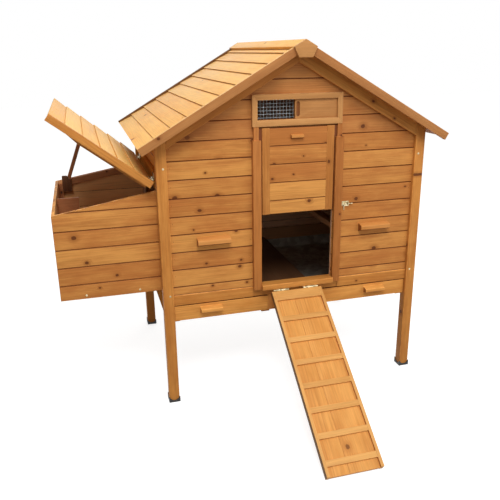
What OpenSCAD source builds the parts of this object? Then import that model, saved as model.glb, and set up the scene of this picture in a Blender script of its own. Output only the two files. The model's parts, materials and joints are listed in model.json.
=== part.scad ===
// Raised timber chicken coop with a pull-out tray floor, a nest box on its left side,
// a lifting pop door and a ramp. Millimetres, +Z up, front towards -Y, ground at Z = 0.
// Places are worked out from the outer face of the left legs and the front face of the
// front legs, then the whole is moved so that the origin is the centre of its footprint.

/* [House body] */
// Width over the legs
body_w = 1070; // [1000:5:1300]
// Depth over the legs
body_d = 800; // [760:5:1100]
// Side of the square legs
leg = 40; // [36:1:45]
// Height of the underside of the walls above the ground
wall_z = 415; // [400:5:460]
// Height of the first joint between wall boards
first_joint_z = 490; // [485:1:495]
// Visible height of one board
course = 69; // [66:1:72]
// Thickness of a wall board
board_t = 12; // [10:0.5:14]
// Distance that the wall boards lie behind the outer face of the legs
inset = 14; // [10:1:18]
// Height of the bottom rail under the wall boards
rail_h = 42; // [36:1:50]

/* [Roof] */
// Height where the undersides of the two roof slopes meet
ridge_z = 1360; // [1330:5:1420]
// Pitch of the roof in degrees
pitch = 30; // [28:0.5:32]
// How far the roof boards reach past the legs at each side
eave = 57; // [35:1:65]
// How far the roof reaches in front of the legs
over_front = 60; // [50:1:80]
// How far the roof reaches behind the legs
over_rear = 60; // [50:1:80]
// Thickness of a roof board at its lower edge
butt_t = 11; // [10:0.5:13]
// Thickness of a roof board at its upper edge
thin_t = 6; // [5:0.5:6]
// Visible width of the lowest roof board
eave_course = 78; // [60:1:90]
// Depth of the bargeboards
barge_h = 29; // [26:1:40]
// How far the bargeboards stand above the roof boards
barge_up = 6; // [0:1:12]
// Thickness of the bargeboards
barge_t = 15; // [12:1:20]
// Depth of the gable trim below the roof boards
trim_h = 46; // [40:1:50]
// Width of one ridge cap board
cap_w = 38; // [30:1:60]
// Thickness of the ridge cap boards
cap_t = 9; // [8:1:15]
// Depth of the ridge plates below their corners
plate_drop = 36; // [30:1:45]

/* [Pop door] */
// How far the pop opening's middle lies to the right of the house's middle
door_shift = 2.5; // [-10:0.5:10]
// Width of the pop opening
door_w = 297; // [290:1:304]
// Height of the top of the sill
sill_z = 468; // [462:1:475]
// Height of the door itself
door_h = 326; // [320:1:330]
// Height that the door is held up at above the sill
door_lift = 283; // [270:1:284]
// Width of the door rails
rail_w = 32; // [28:1:40]
// How far the door rails stand off the wall
rail_t = 22; // [20:1:26]
// Thickness of the sliding door
door_t = 12; // [10:0.5:13]
// Width of the upright strips of the door
stile_w = 41; // [36:1:45]
// Width of the rebate beside each upright strip
rebate = 6; // [3:1:8]
// Height of the door's pull above the bottom of the door
pull_up = 282; // [260:1:290]

/* [Vent] */
// How far the vent's middle lies to the right of the house's middle
vent_shift = -1; // [-8:0.5:8]
// Width over the vent frame
vent_w = 353; // [345:1:355]
// Height of the underside of the vent frame
vent_z = 1083; // [1082:1:1088]
// Height over the vent frame
vent_h = 114; // [104:1:114]
// Width of one vent frame member
vent_b = 20; // [18:1:22]
// Width of the vent frame's lowest member
vent_low = 23; // [18:1:25]
// Spacing of the wire mesh
mesh = 12.7; // [10:0.1:16]
// Thickness of the mesh wires
wire = 1.2; // [0.9:0.1:1.6]

/* [Ramp] */
// How far the ramp's middle lies to the right of the house's middle
ramp_shift = -8; // [-16:1:10]
// Width of the ramp
ramp_w = 208; // [200:1:220]
// Length of the ramp from its hinge
ramp_len = 731; // [700:1:760]
// Width of the ramp side rails
ramp_rail_w = 12; // [10:1:16]
// Depth of the ramp side rails
ramp_rail_h = 24; // [22:1:28]
// Spacing of the ramp cleats
cleat_pitch = 93; // [85:1:100]
// Width of a ramp cleat
cleat_w = 21; // [16:1:26]
// Height of a ramp cleat above the ramp boards
cleat_h = 8; // [6:1:10]

/* [Nest box] */
// How far the nest box stands out from the legs
nest_out = 373; // [360:1:400]
// Depth of the nest box along the house
nest_d = 642; // [620:1:660]
// Height of the underside of the nest box
nest_z = 474; // [460:1:480]
// Height of the top of the nest box beside the house
nest_top = 865; // [855:1:875]
// Slope of the closed lid in degrees
lid_slope = 10; // [8:0.5:12]
// How far the lid is propped open above level in degrees
lid_open = 37.4; // [36:0.1:38]
// Length of the lid from its hinge
lid_len = 420; // [405:1:440]
// Whole thickness of the lid
lid_t = 38; // [36:1:42]
// Depth of the lid's front and rear edge boards
lid_edge_h = 26; // [22:1:34]
// How far the lid reaches past the nest box at each end
lid_over = 45; // [40:1:46]

/* [Trays] */
// Height of the underside of the trays
tray_z = 349; // [345:1:352]
// Thickness of the tray fronts
front_t = 18; // [15:1:20]
// Thickness of the tray sheet
sheet = 1; // [0.8:0.1:2]

/* [Grips and perches] */
// Length of the grips on the front boards
grip_l = 128; // [100:1:150]
// Height of the grips on the front boards
grip_h = 34; // [28:1:40]
// How far the grips stand out
grip_d = 30; // [22:1:34]
// Distance of the grips from the sides of the house
grip_side = 139; // [120:1:160]
// Height of the underside of the grips
grip_z = 646; // [620:1:670]
// Length of the pulls on the tray fronts
tray_grip_l = 87; // [70:1:110]
// Distance of the tray pulls from the sides of the house
tray_grip_side = 142; // [120:1:160]
// Width of a perch
perch_w = 38; // [30:1:45]
// Height of the underside of the perches
perch_z = 634; // [600:1:680]
// Distance of each perch from the middle of the house
perch_off = 215; // [190:5:240]
// Distance of the screws from the outer edge of a leg
screw_in = 26; // [20:1:30]

/* [Hidden] */

$fn = 32;

// Clearances
gap = 0.6;          // between neighbouring boards
run = 0.5;          // round a sliding piece
fit = 0.06;         // between a hinge pin and its knuckle, on the radius
tray_gap = 4.5;     // above a tray front
lap = 6;            // overlap of neighbouring wall boards
roof_lap = 8;       // overlap of neighbouring roof boards
bevel = 2;          // small bevel along the edges of boards
proud = 3;          // how far the front bottom rail stands out from the boards
seam = 0.3;         // between pieces that meet on one body
cap_floor = 6;      // thickness under the end of a leg
cap_high = 24;      // height of the corners of a foot cap

// Colours
wall_c = [0.78, 0.53, 0.29];
frame_c = [0.76, 0.50, 0.27];
roof_c = [0.98, 0.79, 0.52];
ramp_c = [0.93, 0.66, 0.39];
dark_c = [0.38, 0.24, 0.16];
zinc_c = [0.78, 0.78, 0.76];
cap_c = [0.12, 0.12, 0.12];

// Main planes
wall_y = inset;                       // outer face of the front wall
in_y = wall_y + board_t;              // its inner face
rear_y = body_d - inset;              // outer face of the rear wall
left_x = inset;                       // outer face of the left wall
right_x = body_w - inset;             // outer face of the right wall
mid_x = body_w / 2;
door_x = mid_x + door_shift - door_w / 2;
vent_x = mid_x + vent_shift - vent_w / 2;
ramp_x = mid_x + ramp_shift - ramp_w / 2;
batten = 20;
rail_top_z = wall_z + rail_h;
plate_t = 10;                         // ridge plate

function under_roof_z(x) = ridge_z - abs(x - mid_x) * tan(pitch);
half_gap = 0.2;                       // half the gap between the two slopes at the ridge
function ridge_at(v) = [mid_x - half_gap, under_roof_z(mid_x - half_gap) + v / cos(pitch)];
slope_len = (mid_x + eave) / cos(pitch);
eave_z = under_roof_z(-eave);
wall_top_z = under_roof_z(left_x);

// Pop door
door_z = sill_z + door_lift;
opening_top_z = first_joint_z + 4 * course;
groove = 7;                           // depth of the groove that guides the door
rebate_d = 5;                         // depth of the rebate in front of the door's tongue
door_y = wall_y - door_t - 2;         // front face of the door
rail_y = wall_y - rail_t;             // front face of the door rails
sill_h = 20;
sill_y = rail_y - 12;
gable_z = first_joint_z + 8 * course; // joint between the lower walls and the gable

// Hinges of the ramp
pin_r = 1.5;
knuckle_r = 3.5;
leaf_t = 1.5;
leaf_w = 22;
hinge_l = 50;                         // length of a lid hinge
ramp_hinge_l = 62;
ramp_pin_y = sill_y - leaf_t - knuckle_r;
ramp_pin_z = sill_z - sill_h - knuckle_r;
ramp_diag = sqrt(pow(ramp_len, 2) + pow(ramp_rail_h, 2));
ramp_a = asin(ramp_pin_z / ramp_diag) - atan(ramp_rail_h / ramp_len);
ramp_board_t = 12;
ramp_start = 4;
top_cleat_w = 42;
ramp_hinge_x = [ramp_x + 8, ramp_x + ramp_w - 14 - ramp_hinge_l];

// Lid of the nest box
nest_y = leg;
nest_back_y = nest_y + nest_d;
lid_pin_x = -knuckle_r - leaf_t;
lid_pin_z = nest_top + (lid_t + 0.6 + lid_pin_x * sin(lid_slope)) / cos(lid_slope);
lid_start = 5;
lid_y0 = nest_y - lid_over;
lid_y1 = nest_back_y + lid_over;
lid_boards_n = 6;
lid_course = (lid_len - lid_start) / lid_boards_n;
fascia_t = 15;
lid_bar_s = lid_len - 48;             // end of the lid's cross bars
batten_slant = 84;                    // length of the slant cut on the lid's battens
ledger_z = lid_pin_z - 34;
ledger_h = 62;
lid_hinge_y = [60, 540];

function nest_top_z(x) = nest_top + x * tan(lid_slope);

// Prop stick: pinned to the lid frame, its foot on a sloped seat in the corner of the box
rim_t = 9;                            // rim rail inside the back of the nest box
post = 18;                            // corner posts of the nest box
prop_w = 16;
prop_t = 12;
prop_len = 243;
prop_s = 259;
prop_n = 25;
prop_lean = 69;
prop_y = nest_back_y - board_t - rim_t - prop_t - 1.5;
seat_slope = 52;
prop_pin_x = lid_pin_x - prop_s * cos(lid_open) - prop_n * sin(lid_open);
prop_pin_z = lid_pin_z + prop_s * sin(lid_open) - prop_n * cos(lid_open);
prop_foot_x = prop_pin_x - prop_len * cos(prop_lean);
prop_foot_z = prop_pin_z - prop_len * sin(prop_lean);
prop_pin_r = 3;

// Trays, one each side of the ramp
side_gap = 4;
centre_x0 = ramp_x - side_gap;
centre_x1 = ramp_x + ramp_w + side_gap;
skirt_z = tray_z - 14;
front_h = wall_z - tray_gap - tray_z;
pan_h = 50;
pan_end_y = rear_y - board_t - 10;
ledge_h = tray_z - skirt_z - 0.3;

// Origin: centre of the footprint
min_x = -nest_out;
max_x = body_w + eave + (butt_t + barge_up) * sin(pitch);
min_y = ramp_pin_y - ramp_len * cos(ramp_a);
max_y = body_d + over_rear + plate_t;

module place() {
    translate([-(min_x + max_x) / 2, -(min_y + max_y) / 2, 0]) children();
}

// Heights of the joints of a boarded wall between z0 and z1
function joints(z0, z1, first) = concat([z0],
    [for (k = [-2:14]) let (z = first + k * course) if (z > z0 + 20 && z < z1 - 25) z], [z1]);

// Outline of one wall board: its face at zero depth, its tongue behind the board above
function board_outline(z0, z1, last) = let (top = last ? z1 : z1 - gap) concat(
    [[bevel, z0], [0, z0 + bevel], [0, top - bevel], [bevel, top]],
    last ? [[board_t, top]]
         : [[board_t / 2 + 0.3, top], [board_t / 2 + 0.3, top + lap], [board_t, top + lap]],
    [[board_t, z0 + lap + 0.3], [board_t / 2 - 0.3, z0 + lap + 0.3], [board_t / 2 - 0.3, z0]]);

// Boards along X, face towards -Y at Y = 0, from X = 0
module boards(length, z0, z1, first = first_joint_z) {
    z = joints(z0, z1, first);
    for (i = [0:len(z) - 2])
        rotate([90, 0, 90])
            linear_extrude(length)
                polygon(board_outline(z[i], z[i + 1], i == len(z) - 2));
}

// Prism of the whole space under the roof boards
module under_roof(y0, y1, drop = 0) {
    x = eave + 20;
    d = drop / cos(pitch);
    translate([0, y1, 0])
        rotate([90, 0, 0])
            linear_extrude(y1 - y0)
                polygon([[-x, 0], [body_w + x, 0], [body_w + x, under_roof_z(body_w + x) - d],
                    [mid_x, ridge_z - d], [-x, under_roof_z(-x) - d]]);
}

// Strip that follows one roof slope, v0 and v1 measured square to the slope
module slope_strip(v0, v1, y0, y1, x0, right = false) {
    a0 = v0 / cos(pitch);
    a1 = v1 / cos(pitch);
    translate([right ? body_w : 0, 0, 0])
        mirror([right ? 1 : 0, 0, 0])
            translate([0, y1, 0])
                rotate([90, 0, 0])
                    linear_extrude(y1 - y0)
                        polygon([[x0, under_roof_z(x0) + a0], ridge_at(v0), ridge_at(v1),
                            [x0, under_roof_z(x0) + a1]]);
}

// Outline of one roof board: u runs up the slope, v stands off it
function roof_outline(u0, u1, lowest) = let (u = lowest ? u0 : u0 - roof_lap) concat(
    lowest ? [[u0, 0]] : [[u0, 0], [u0, thin_t + 0.4], [u, thin_t + 0.4]],
    [[u, butt_t], [u1 - roof_lap - 1, thin_t], [u1 - gap, thin_t], [u1 - gap, 0]]);

module weather_boards(lines, length) {
    for (i = [0:len(lines) - 2])
        translate([0, length, 0])
            rotate([90, 0, 0])
                linear_extrude(length)
                    polygon(roof_outline(lines[i], lines[i + 1], i == 0));
}

module leg_post(x, y) {
    color(frame_c)
        intersection() {
            translate([x, y, cap_floor])
                linear_extrude(ridge_z)
                    bevelled_square(leg);
            under_roof(-1, body_d + 1);
        }
}

module bevelled_square(side) {
    polygon([[bevel, 0], [side - bevel, 0], [side, bevel], [side, side - bevel],
        [side - bevel, side], [bevel, side], [0, side - bevel], [0, bevel]]);
}

module leg_front_left() { place() leg_post(0, 0); }
module leg_front_right() { place() leg_post(body_w - leg, 0); }
module leg_rear_left() { place() leg_post(0, body_d - leg); }
module leg_rear_right() { place() leg_post(body_w - leg, body_d - leg); }

// Moulded cup on the foot of each leg, its sides scooped down between the corners
module foot_cap() {
    wall = 2.5;
    low = 9;
    scoop = (pow(leg / 2, 2) + pow(cap_high - low, 2)) / (2 * (cap_high - low));
    difference() {
        translate([-wall, -wall, 0]) cube([leg + 2 * wall, leg + 2 * wall, cap_high]);
        translate([0, 0, cap_floor]) cube([leg, leg, cap_high]);
        translate([leg / 2, leg / 2 - leg, low + scoop])
            rotate([-90, 0, 0]) cylinder(r = scoop, h = 2 * leg);
        translate([leg / 2 - leg, leg / 2, low + scoop])
            rotate([0, 90, 0]) cylinder(r = scoop, h = 2 * leg);
    }
}

module foot_caps() {
    color(cap_c)
        place()
            for (x = [0, body_w - leg], y = [0, body_d - leg])
                translate([x, y, 0]) foot_cap();
}

// Rails that carry the front and rear boards, the rear one closing the tray space
module bottom_rails() {
    color(frame_c)
        place() {
            translate([leg, wall_y, wall_z]) cube([body_w - 2 * leg, board_t, rail_h]);
            for (x = [[leg, door_x - rail_w], [door_x + door_w + rail_w, body_w - leg]])
                translate([x[0], 0, wall_z])
                    rotate([90, 0, 90])
                        linear_extrude(x[1] - x[0])
                            polygon([[wall_y - proud, 0], [wall_y + 1, 0], [wall_y + 1, rail_h],
                                [wall_y, rail_h], [wall_y - proud, rail_h - proud]]);
            translate([leg, rear_y - board_t, skirt_z])
                cube([body_w - 2 * leg, board_t, rail_top_z - skirt_z]);
        }
}

module front_wall_left() {
    color(wall_c)
        place()
            translate([leg, wall_y, 0])
                boards(door_x - leg, rail_top_z, opening_top_z - gap);
}

module front_wall_right() {
    x = door_x + door_w;
    color(wall_c)
        place()
            translate([x, wall_y, 0])
                boards(body_w - leg - x, rail_top_z, opening_top_z - gap);
}

module front_wall_upper() {
    color(wall_c)
        place()
            translate([leg, wall_y, 0])
                boards(body_w - 2 * leg, opening_top_z, gable_z - gap);
}

module front_gable() {
    color(wall_c)
        place()
            difference() {
                intersection() {
                    translate([leg, wall_y, 0])
                        boards(body_w - 2 * leg, gable_z, ridge_z);
                    under_roof(0, body_d, 0.3);
                }
                translate([vent_x + vent_b, 0, vent_z + vent_low])
                    cube([mesh_w, body_d / 2, vent_h - vent_b - vent_low]);
            }
}

// Sloping trims on both gables, seated under the roof boards
module gable_trims() {
    trim_t = 15;
    color(frame_c)
        place()
            for (right = [false, true]) {
                slope_strip(-trim_h, -0.3, wall_y - trim_t, wall_y, leg, right);
                slope_strip(-trim_h, -0.3, rear_y, rear_y + inset, leg, right);
            }
}

module rear_wall() {
    color(wall_c)
        place()
            intersection() {
                translate([body_w - leg, rear_y, 0])
                    rotate([0, 0, 180])
                        boards(body_w - 2 * leg, rail_top_z, ridge_z);
                under_roof(0, body_d, 0.3);
            }
}

// Left wall, cut away where the nest box opens into the house
module left_wall() {
    side = 20;
    color(wall_c)
        place()
            difference() {
                translate([left_x, body_d - leg, 0])
                    rotate([0, 0, -90])
                        boards(body_d - 2 * leg, wall_z, wall_top_z - 0.3);
                translate([0, nest_y + side, nest_z + board_t + 2])
                    cube([leg, nest_d - 2 * side, nest_top - 19 - nest_z - board_t - 2]);
            }
}

module right_wall() {
    color(wall_c)
        place()
            translate([right_x, leg, 0])
                rotate([0, 0, 90])
                    boards(body_d - 2 * leg, wall_z, wall_top_z - 0.3);
}

// Battens inside the house: corners, beside the pop opening and along the eaves
module inner_battens() {
    plate_h = 50;
    top_z = under_roof_z(leg) - 60;
    far_y = rear_y - board_t - batten;
    color(frame_c)
        place() {
            for (x = [leg, body_w - leg - batten], y = [in_y, far_y])
                translate([x, y, wall_z + 1]) cube([batten, batten, top_z - wall_z - 1]);
            for (x = [door_x - 10 - batten, door_x + door_w + 10])
                translate([x, in_y, wall_z + 1]) cube([batten, batten, gable_z - wall_z - 40]);
            intersection() {
                for (x = [left_x + board_t, right_x - board_t - batten])
                    translate([x, in_y + batten + seam, wall_top_z - plate_h])
                        cube([batten, far_y - in_y - batten - 2 * seam, 2 * plate_h]);
                under_roof(0, body_d, 0.3);
            }
        }
}

// Ledge section that a tray slides on, web at X = 0 and ledge towards +X
module ledge_section(web, height, ledge) {
    polygon([[0, 0], [web + ledge, 0], [web + ledge, ledge_h], [web, ledge_h], [web, height],
        [0, height]]);
}

module along_y(y0, y1) {
    translate([0, y1, 0]) rotate([90, 0, 0]) linear_extrude(y1 - y0) children();
}

module side_skirts() {
    color(frame_c)
        place()
            for (right = [0, 1])
                translate([right * body_w, 0, skirt_z])
                    mirror([right, 0, 0])
                        translate([left_x, 0, 0])
                            along_y(leg, body_d - leg)
                                ledge_section(20, wall_z - skirt_z, 30);
}

module tray_bearers() {
    web = 12;
    color(frame_c)
        place() {
            translate([centre_x0 + run + web, 0, skirt_z])
                mirror([1, 0, 0])
                    along_y(wall_y + front_t, rear_y - board_t)
                        ledge_section(web, wall_z - 15 - skirt_z, 22);
            translate([centre_x1 - run - web, 0, skirt_z])
                along_y(wall_y + front_t, rear_y - board_t)
                    ledge_section(web, wall_z - 15 - skirt_z, 22);
        }
}

// Fixed board behind the ramp and the floor strip between the two trays
module centre_floor() {
    width = centre_x1 - centre_x0 - 2 * run;
    color(frame_c)
        place() {
            translate([centre_x0 + run, wall_y, tray_z])
                cube([width, front_t, wall_z - tray_z]);
            translate([centre_x0 + run, wall_y + front_t, wall_z - 15])
                cube([width, rear_y - board_t - wall_y - front_t, 12]);
        }
}

// Threshold board under the pop opening, which carries the ramp
module pop_sill() {
    color(frame_c)
        place()
            translate([door_x, 0, sill_z - sill_h])
                rotate([90, 0, 90])
                    linear_extrude(door_w)
                        polygon([[sill_y, 0], [wall_y, 0], [wall_y, rail_top_z - sill_z + sill_h],
                            [in_y, rail_top_z - sill_z + sill_h], [in_y, sill_h],
                            [sill_y + bevel, sill_h], [sill_y, sill_h - bevel]]);
}

// Rail with a groove behind its inner edge for the door, and a guide strip above it
module door_rail(x_outer, towards) {
    bottom = sill_z - sill_h;
    groove_d = wall_y - door_y - rebate_d + run;
    guide_w = 19;
    translate([x_outer, 0, 0])
        mirror([towards < 0 ? 1 : 0, 0, 0]) {
            translate([0, 0, bottom])
                linear_extrude(gable_z - 8 - bottom)
                    polygon([[0, wall_y], [0, rail_y + 1.5], [1.5, rail_y], [rail_w - 1.5, rail_y],
                        [rail_w, rail_y + 1.5], [rail_w, wall_y - groove_d],
                        [rail_w - groove, wall_y - groove_d], [rail_w - groove, wall_y]]);
            translate([rail_w - groove - guide_w, wall_y - 14, gable_z - 8])
                cube([guide_w, 14, vent_z - gable_z + 8]);
        }
}

module door_rail_left() {
    color(frame_c) place() door_rail(door_x - rail_w, 1);
}

module door_rail_right() {
    color(frame_c)
        place()
            difference() {
                door_rail(door_x + door_w + rail_w, -1);
                translate([door_x, bolt_y, bolt_z])
                    rotate([0, 90, 0]) cylinder(r = bolt_r + 0.5, h = body_w / 2);
            }
}

// Pull moulding: flat back, sloping top, and an underside that fingers hook behind
module pull(length, height, depth) {
    rotate([90, 0, 90])
        linear_extrude(length)
            polygon([[0, 0], [0, height], [-depth + 4, height * 0.86], [-depth, height * 0.76],
                [-depth, height * 0.34], [-depth + 3, height * 0.26]]);
}

module panel_handles() {
    color(frame_c)
        place()
            for (x = [grip_side, body_w - grip_side - grip_l])
                translate([x, wall_y, grip_z]) pull(grip_l, grip_h, grip_d);
}

// Mitred frame, grooved behind so that the shutter slides in it
module vent_frame() {
    front = 16;
    depth = 8;
    color(frame_c)
        place()
            translate([vent_x, wall_y, vent_z])
                for (side = [0:3])
                    vent_member(side, front, depth);
}

module vent_member(side, front, depth) {
    wide = [vent_low, vent_b, vent_b, vent_b];
    b = wide[side];
    level = side % 2 == 0;
    length = level ? vent_w : vent_h;
    move = [[0, 0], [vent_w, 0], [vent_w, vent_h], [0, vent_h]][side];
    translate([move[0], 0, move[1]])
        rotate([0, -90 * side, 0])
            difference() {
                rotate([90, 0, 0])
                    linear_extrude(front)
                        polygon([[0.1, 0], [length - 0.1, 0],
                            [length - wide[(side + 1) % 4] - 0.1, b],
                            [wide[(side + 3) % 4] + 0.1, b]]);
                translate([-1, -depth - run, b - groove])
                    cube([length + 2, depth + run + 1, b]);
            }
}

// Welded mesh behind the open half of the vent
mesh_w = (vent_w - 2 * vent_b) / 2 - 9;

module vent_mesh() {
    edge = 8;
    w = mesh_w + 2 * edge;
    h = vent_h - vent_b - vent_low + 2 * edge;
    color(zinc_c)
        place()
            translate([vent_x + vent_b - edge, in_y, vent_z + vent_low - edge])
                union() {
                    for (x = [0:mesh:w])
                        translate([x, 0, 0]) cube([wire, wire, h]);
                    for (z = [0:mesh:h])
                        translate([0, 0.4, z]) cube([w, wire, wire]);
                }
}

// Shutter with a finger groove, at rest behind the closed half of the frame
shutter_w = mesh_w + 2 * groove + 12;
shutter_x = vent_x + vent_w - vent_b + groove - run - shutter_w;

module vent_shutter() {
    h = vent_h - vent_b - vent_low + 2 * groove - 2 * run;
    thick = 8 - run;
    finger_r = 6.5;
    finger_d = 4;
    finger_in = groove + 8 + finger_r;
    color(frame_c)
        place()
            translate([shutter_x, wall_y - 8, vent_z + vent_low - groove + run])
                difference() {
                    cube([shutter_w, thick, h]);
                    hull()
                        for (z = [finger_in, h - finger_in])
                            translate([5 + finger_r, finger_d, z])
                                rotate([90, 0, 0]) cylinder(r = finger_r, h = finger_d + 1);
                }
}

// Small slide bolt beside the raised door, its knob between the rail and the keepers
bolt_r = 2;
bolt_y = door_y + (rebate_d + door_t) / 2;
bolt_z = door_z + 15;
bolt_x = door_x + door_w + groove + 2;
bolt_l = 75;
bolt_travel = 13;
bolt_plate_x = door_x + door_w + rail_w + 4;
keeper_w = 4;

module bolt_base() {
    plate_w = 34;
    plate_h = 20;
    plate = 1.5;
    color(zinc_c)
        place() {
            translate([bolt_plate_x, wall_y - plate, bolt_z - plate_h / 2])
                cube([plate_w, plate, plate_h]);
            for (dx = [16, plate_w - 2 * keeper_w])
                difference() {
                    translate([bolt_plate_x + dx, bolt_y - 5, bolt_z - 5])
                        cube([keeper_w, wall_y - bolt_y + 4, 10]);
                    translate([bolt_plate_x, bolt_y, bolt_z])
                        rotate([0, 90, 0]) cylinder(r = bolt_r + 0.1, h = plate_w);
                }
        }
}

module bolt_rod() {
    knob_r = 2;
    knob_l = 24;
    knob_x = door_x + door_w + rail_w + 1 + knob_r + bolt_travel;
    color(zinc_c)
        place()
            union() {
                translate([bolt_x, bolt_y, bolt_z])
                    rotate([0, 90, 0]) cylinder(r = bolt_r, h = bolt_l);
                translate([knob_x, bolt_y, bolt_z])
                    rotate([180, 0, 0]) cylinder(r = knob_r, h = knob_l);
            }
}

function roof_lines(total) = concat([0],
    [for (u = [eave_course:course:total - 25]) u], [total - 1]);

module roof_boards(right) {
    y0 = -over_front + barge_t;
    color(roof_c)
        translate([right ? body_w : 0, y0, 0])
            mirror([right ? 1 : 0, 0, 0])
                translate([-eave, 0, eave_z])
                    rotate([0, -pitch, 0])
                        weather_boards(roof_lines(slope_len), body_d + over_rear - barge_t - y0);
}

module roof_boards_left() { place() roof_boards(false); }
module roof_boards_right() { place() roof_boards(true); }

// Two pairs of rafters and the ridge board inside the roof
module roof_frame() {
    rafter_h = 40;
    rafter_t = 20;
    first_y = body_d / 3;
    x0 = left_x + board_t + batten;
    color(frame_c)
        place() {
            for (y = [first_y, 2 * first_y - rafter_t], right = [false, true])
                slope_strip(-rafter_h, -0.3, y, y + rafter_t, x0, right);
            translate([mid_x - 9, in_y, ridge_z - 110])
                cube([18, rear_y - board_t - in_y, 110 - (rafter_h + 12) / cos(pitch)]);
            for (y = [first_y, 2 * first_y - rafter_t])
                translate([mid_x - 9, y, ridge_z - 60]) cube([18, rafter_t, 14]);
        }
}

// The cap boards rest on the highest roof boards and in housings in the bargeboards
cap_v = butt_t;

module bargeboards() {
    color(frame_c)
        place()
            for (right = [false, true], y = [-over_front, body_d + over_rear - barge_t])
                bargeboard(y, right);
}

// One bargeboard, its top edge proud of the roof boards up to the housing for the cap
module bargeboard(y, right) {
    top = butt_t + barge_up;
    function end(v) = [-eave - v * sin(pitch), eave_z + v * cos(pitch)];
    function housing(v) = [mid_x - (cap_w + seam) * cos(pitch) - v * sin(pitch),
        ridge_z - (cap_w + seam) * sin(pitch) + v * cos(pitch)];
    translate([right ? body_w : 0, 0, 0])
        mirror([right ? 1 : 0, 0, 0])
            translate([0, y + barge_t, 0])
                rotate([90, 0, 0])
                    linear_extrude(barge_t)
                        polygon([end(top - barge_h), ridge_at(top - barge_h), ridge_at(cap_v),
                            housing(cap_v), housing(top), end(top)]);
}

module ridge_cap() {
    y0 = -over_front;
    y1 = body_d + over_rear;
    color(roof_c)
        place()
            for (right = [0, 1])
                translate([right * body_w, 0, 0])
                    mirror([right, 0, 0])
                        translate([0, y1, 0])
                            rotate([90, 0, 0])
                                linear_extrude(y1 - y0)
                                    cap_section(cap_v, cap_v + cap_t);
}

module cap_section(v0, v1) {
    function low(v) = [mid_x - cap_w * cos(pitch) - v * sin(pitch),
        ridge_z - cap_w * sin(pitch) + v * cos(pitch)];
    polygon([low(v0), ridge_at(v0), ridge_at(v1), low(v1)]);
}

// Five-sided plates that close the ends of the ridge
module ridge_plates() {
    half = cap_w * cos(pitch) + (cap_v + cap_t) * sin(pitch);
    top = ridge_z + (cap_v + cap_t) / cos(pitch);
    drop = half * tan(pitch);
    color(frame_c)
        place()
            for (y = [-over_front, body_d + over_rear + plate_t])
                translate([mid_x, y, top])
                    rotate([90, 0, 0])
                        linear_extrude(plate_t)
                            polygon([[0, 0], [half, -drop], [half * 0.6, -drop - plate_drop],
                                [-half * 0.6, -drop - plate_drop], [-half, -drop]]);
}

// Everything below the sloping rim of the nest box
module under_lid(extra = 0) {
    translate([0, nest_back_y + 1, 0])
        rotate([90, 0, 0])
            linear_extrude(nest_d + 2)
                polygon([[-nest_out - 1, 0], [left_x, 0], [left_x, nest_top_z(left_x) + extra],
                    [-nest_out - 1, nest_top_z(-nest_out - 1) + extra]]);
}

nest_joint_z = nest_z + 58.5;

module nest_front() {
    color(wall_c)
        place()
            intersection() {
                translate([-nest_out, nest_y, 0])
                    boards(nest_out + left_x, nest_z, nest_top_z(left_x), nest_joint_z);
                under_lid();
            }
}

module nest_back() {
    color(wall_c)
        place()
            intersection() {
                translate([left_x, nest_back_y, 0])
                    rotate([0, 0, 180])
                        boards(nest_out + left_x, nest_z, nest_top_z(left_x), nest_joint_z);
                under_lid();
            }
}

module nest_end() {
    color(wall_c)
        place()
            intersection() {
                translate([-nest_out, nest_back_y - board_t, 0])
                    rotate([0, 0, -90])
                        boards(nest_d - 2 * board_t, nest_z, nest_top_z(-nest_out + board_t),
                            nest_joint_z);
                under_lid();
            }
}

module nest_floor() {
    color(dark_c)
        place()
            translate([-nest_out + board_t, nest_y + board_t, nest_z])
                cube([nest_out + left_x - board_t, nest_d - 2 * board_t, board_t]);
}

// Divider between the two nests, cut down beside the house so that hens pass
module nest_divider() {
    x0 = -nest_out + board_t;
    z0 = nest_z + board_t;
    high = nest_top_z(x0) - 12 - z0;
    color(dark_c)
        place()
            along_y(nest_y + nest_d / 2 - 6, nest_y + nest_d / 2 + 6)
                polygon([[x0, z0], [left_x, z0], [left_x, z0 + 110], [-110, z0 + 110],
                    [x0 + 86, z0 + high - 60], [x0 + 86, z0 + high], [x0, z0 + high]]);
}

// Corner posts and the sloping rail inside the rim of the back
module nest_posts() {
    rim_h = 30;
    x = -nest_out + board_t;
    top_z = nest_top_z(x) - 14;
    color(dark_c)
        place()
            for (y = [nest_y + board_t, nest_back_y - board_t - post])
                translate([x, y, nest_z + board_t])
                    cube([post, post, top_z - nest_z - board_t]);
    color(dark_c)
        place()
            along_y(nest_back_y - board_t - rim_t, nest_back_y - board_t)
                polygon([[x + post + 0.1, nest_top_z(x + post) - rim_h],
                    [left_x, nest_top_z(left_x) - rim_h], [left_x, nest_top_z(left_x) - 1],
                    [x + post + 0.1, nest_top_z(x + post) - 1]]);
}

// Corner seat for the foot of the prop, its top cut to the slope that the foot leaves on
module prop_seat() {
    x0 = -nest_out + board_t + post;
    half = 9;
    rise = half * tan(seat_slope);
    bottom = prop_foot_z - 60;
    color(dark_c)
        place()
            along_y(prop_y - 1, nest_back_y - board_t - rim_t)
                polygon([[x0, bottom], [prop_foot_x + half, bottom],
                    [prop_foot_x + half, prop_foot_z - 0.3 - rise],
                    [prop_foot_x - half, prop_foot_z - 0.3 + rise],
                    [x0, prop_foot_z - 0.3 + rise]]);
}

module hinge_ledger() {
    color(frame_c)
        place()
            translate([0, leg, ledger_z])
                cube([left_x, body_d - 2 * leg, ledger_h]);
}

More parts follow.
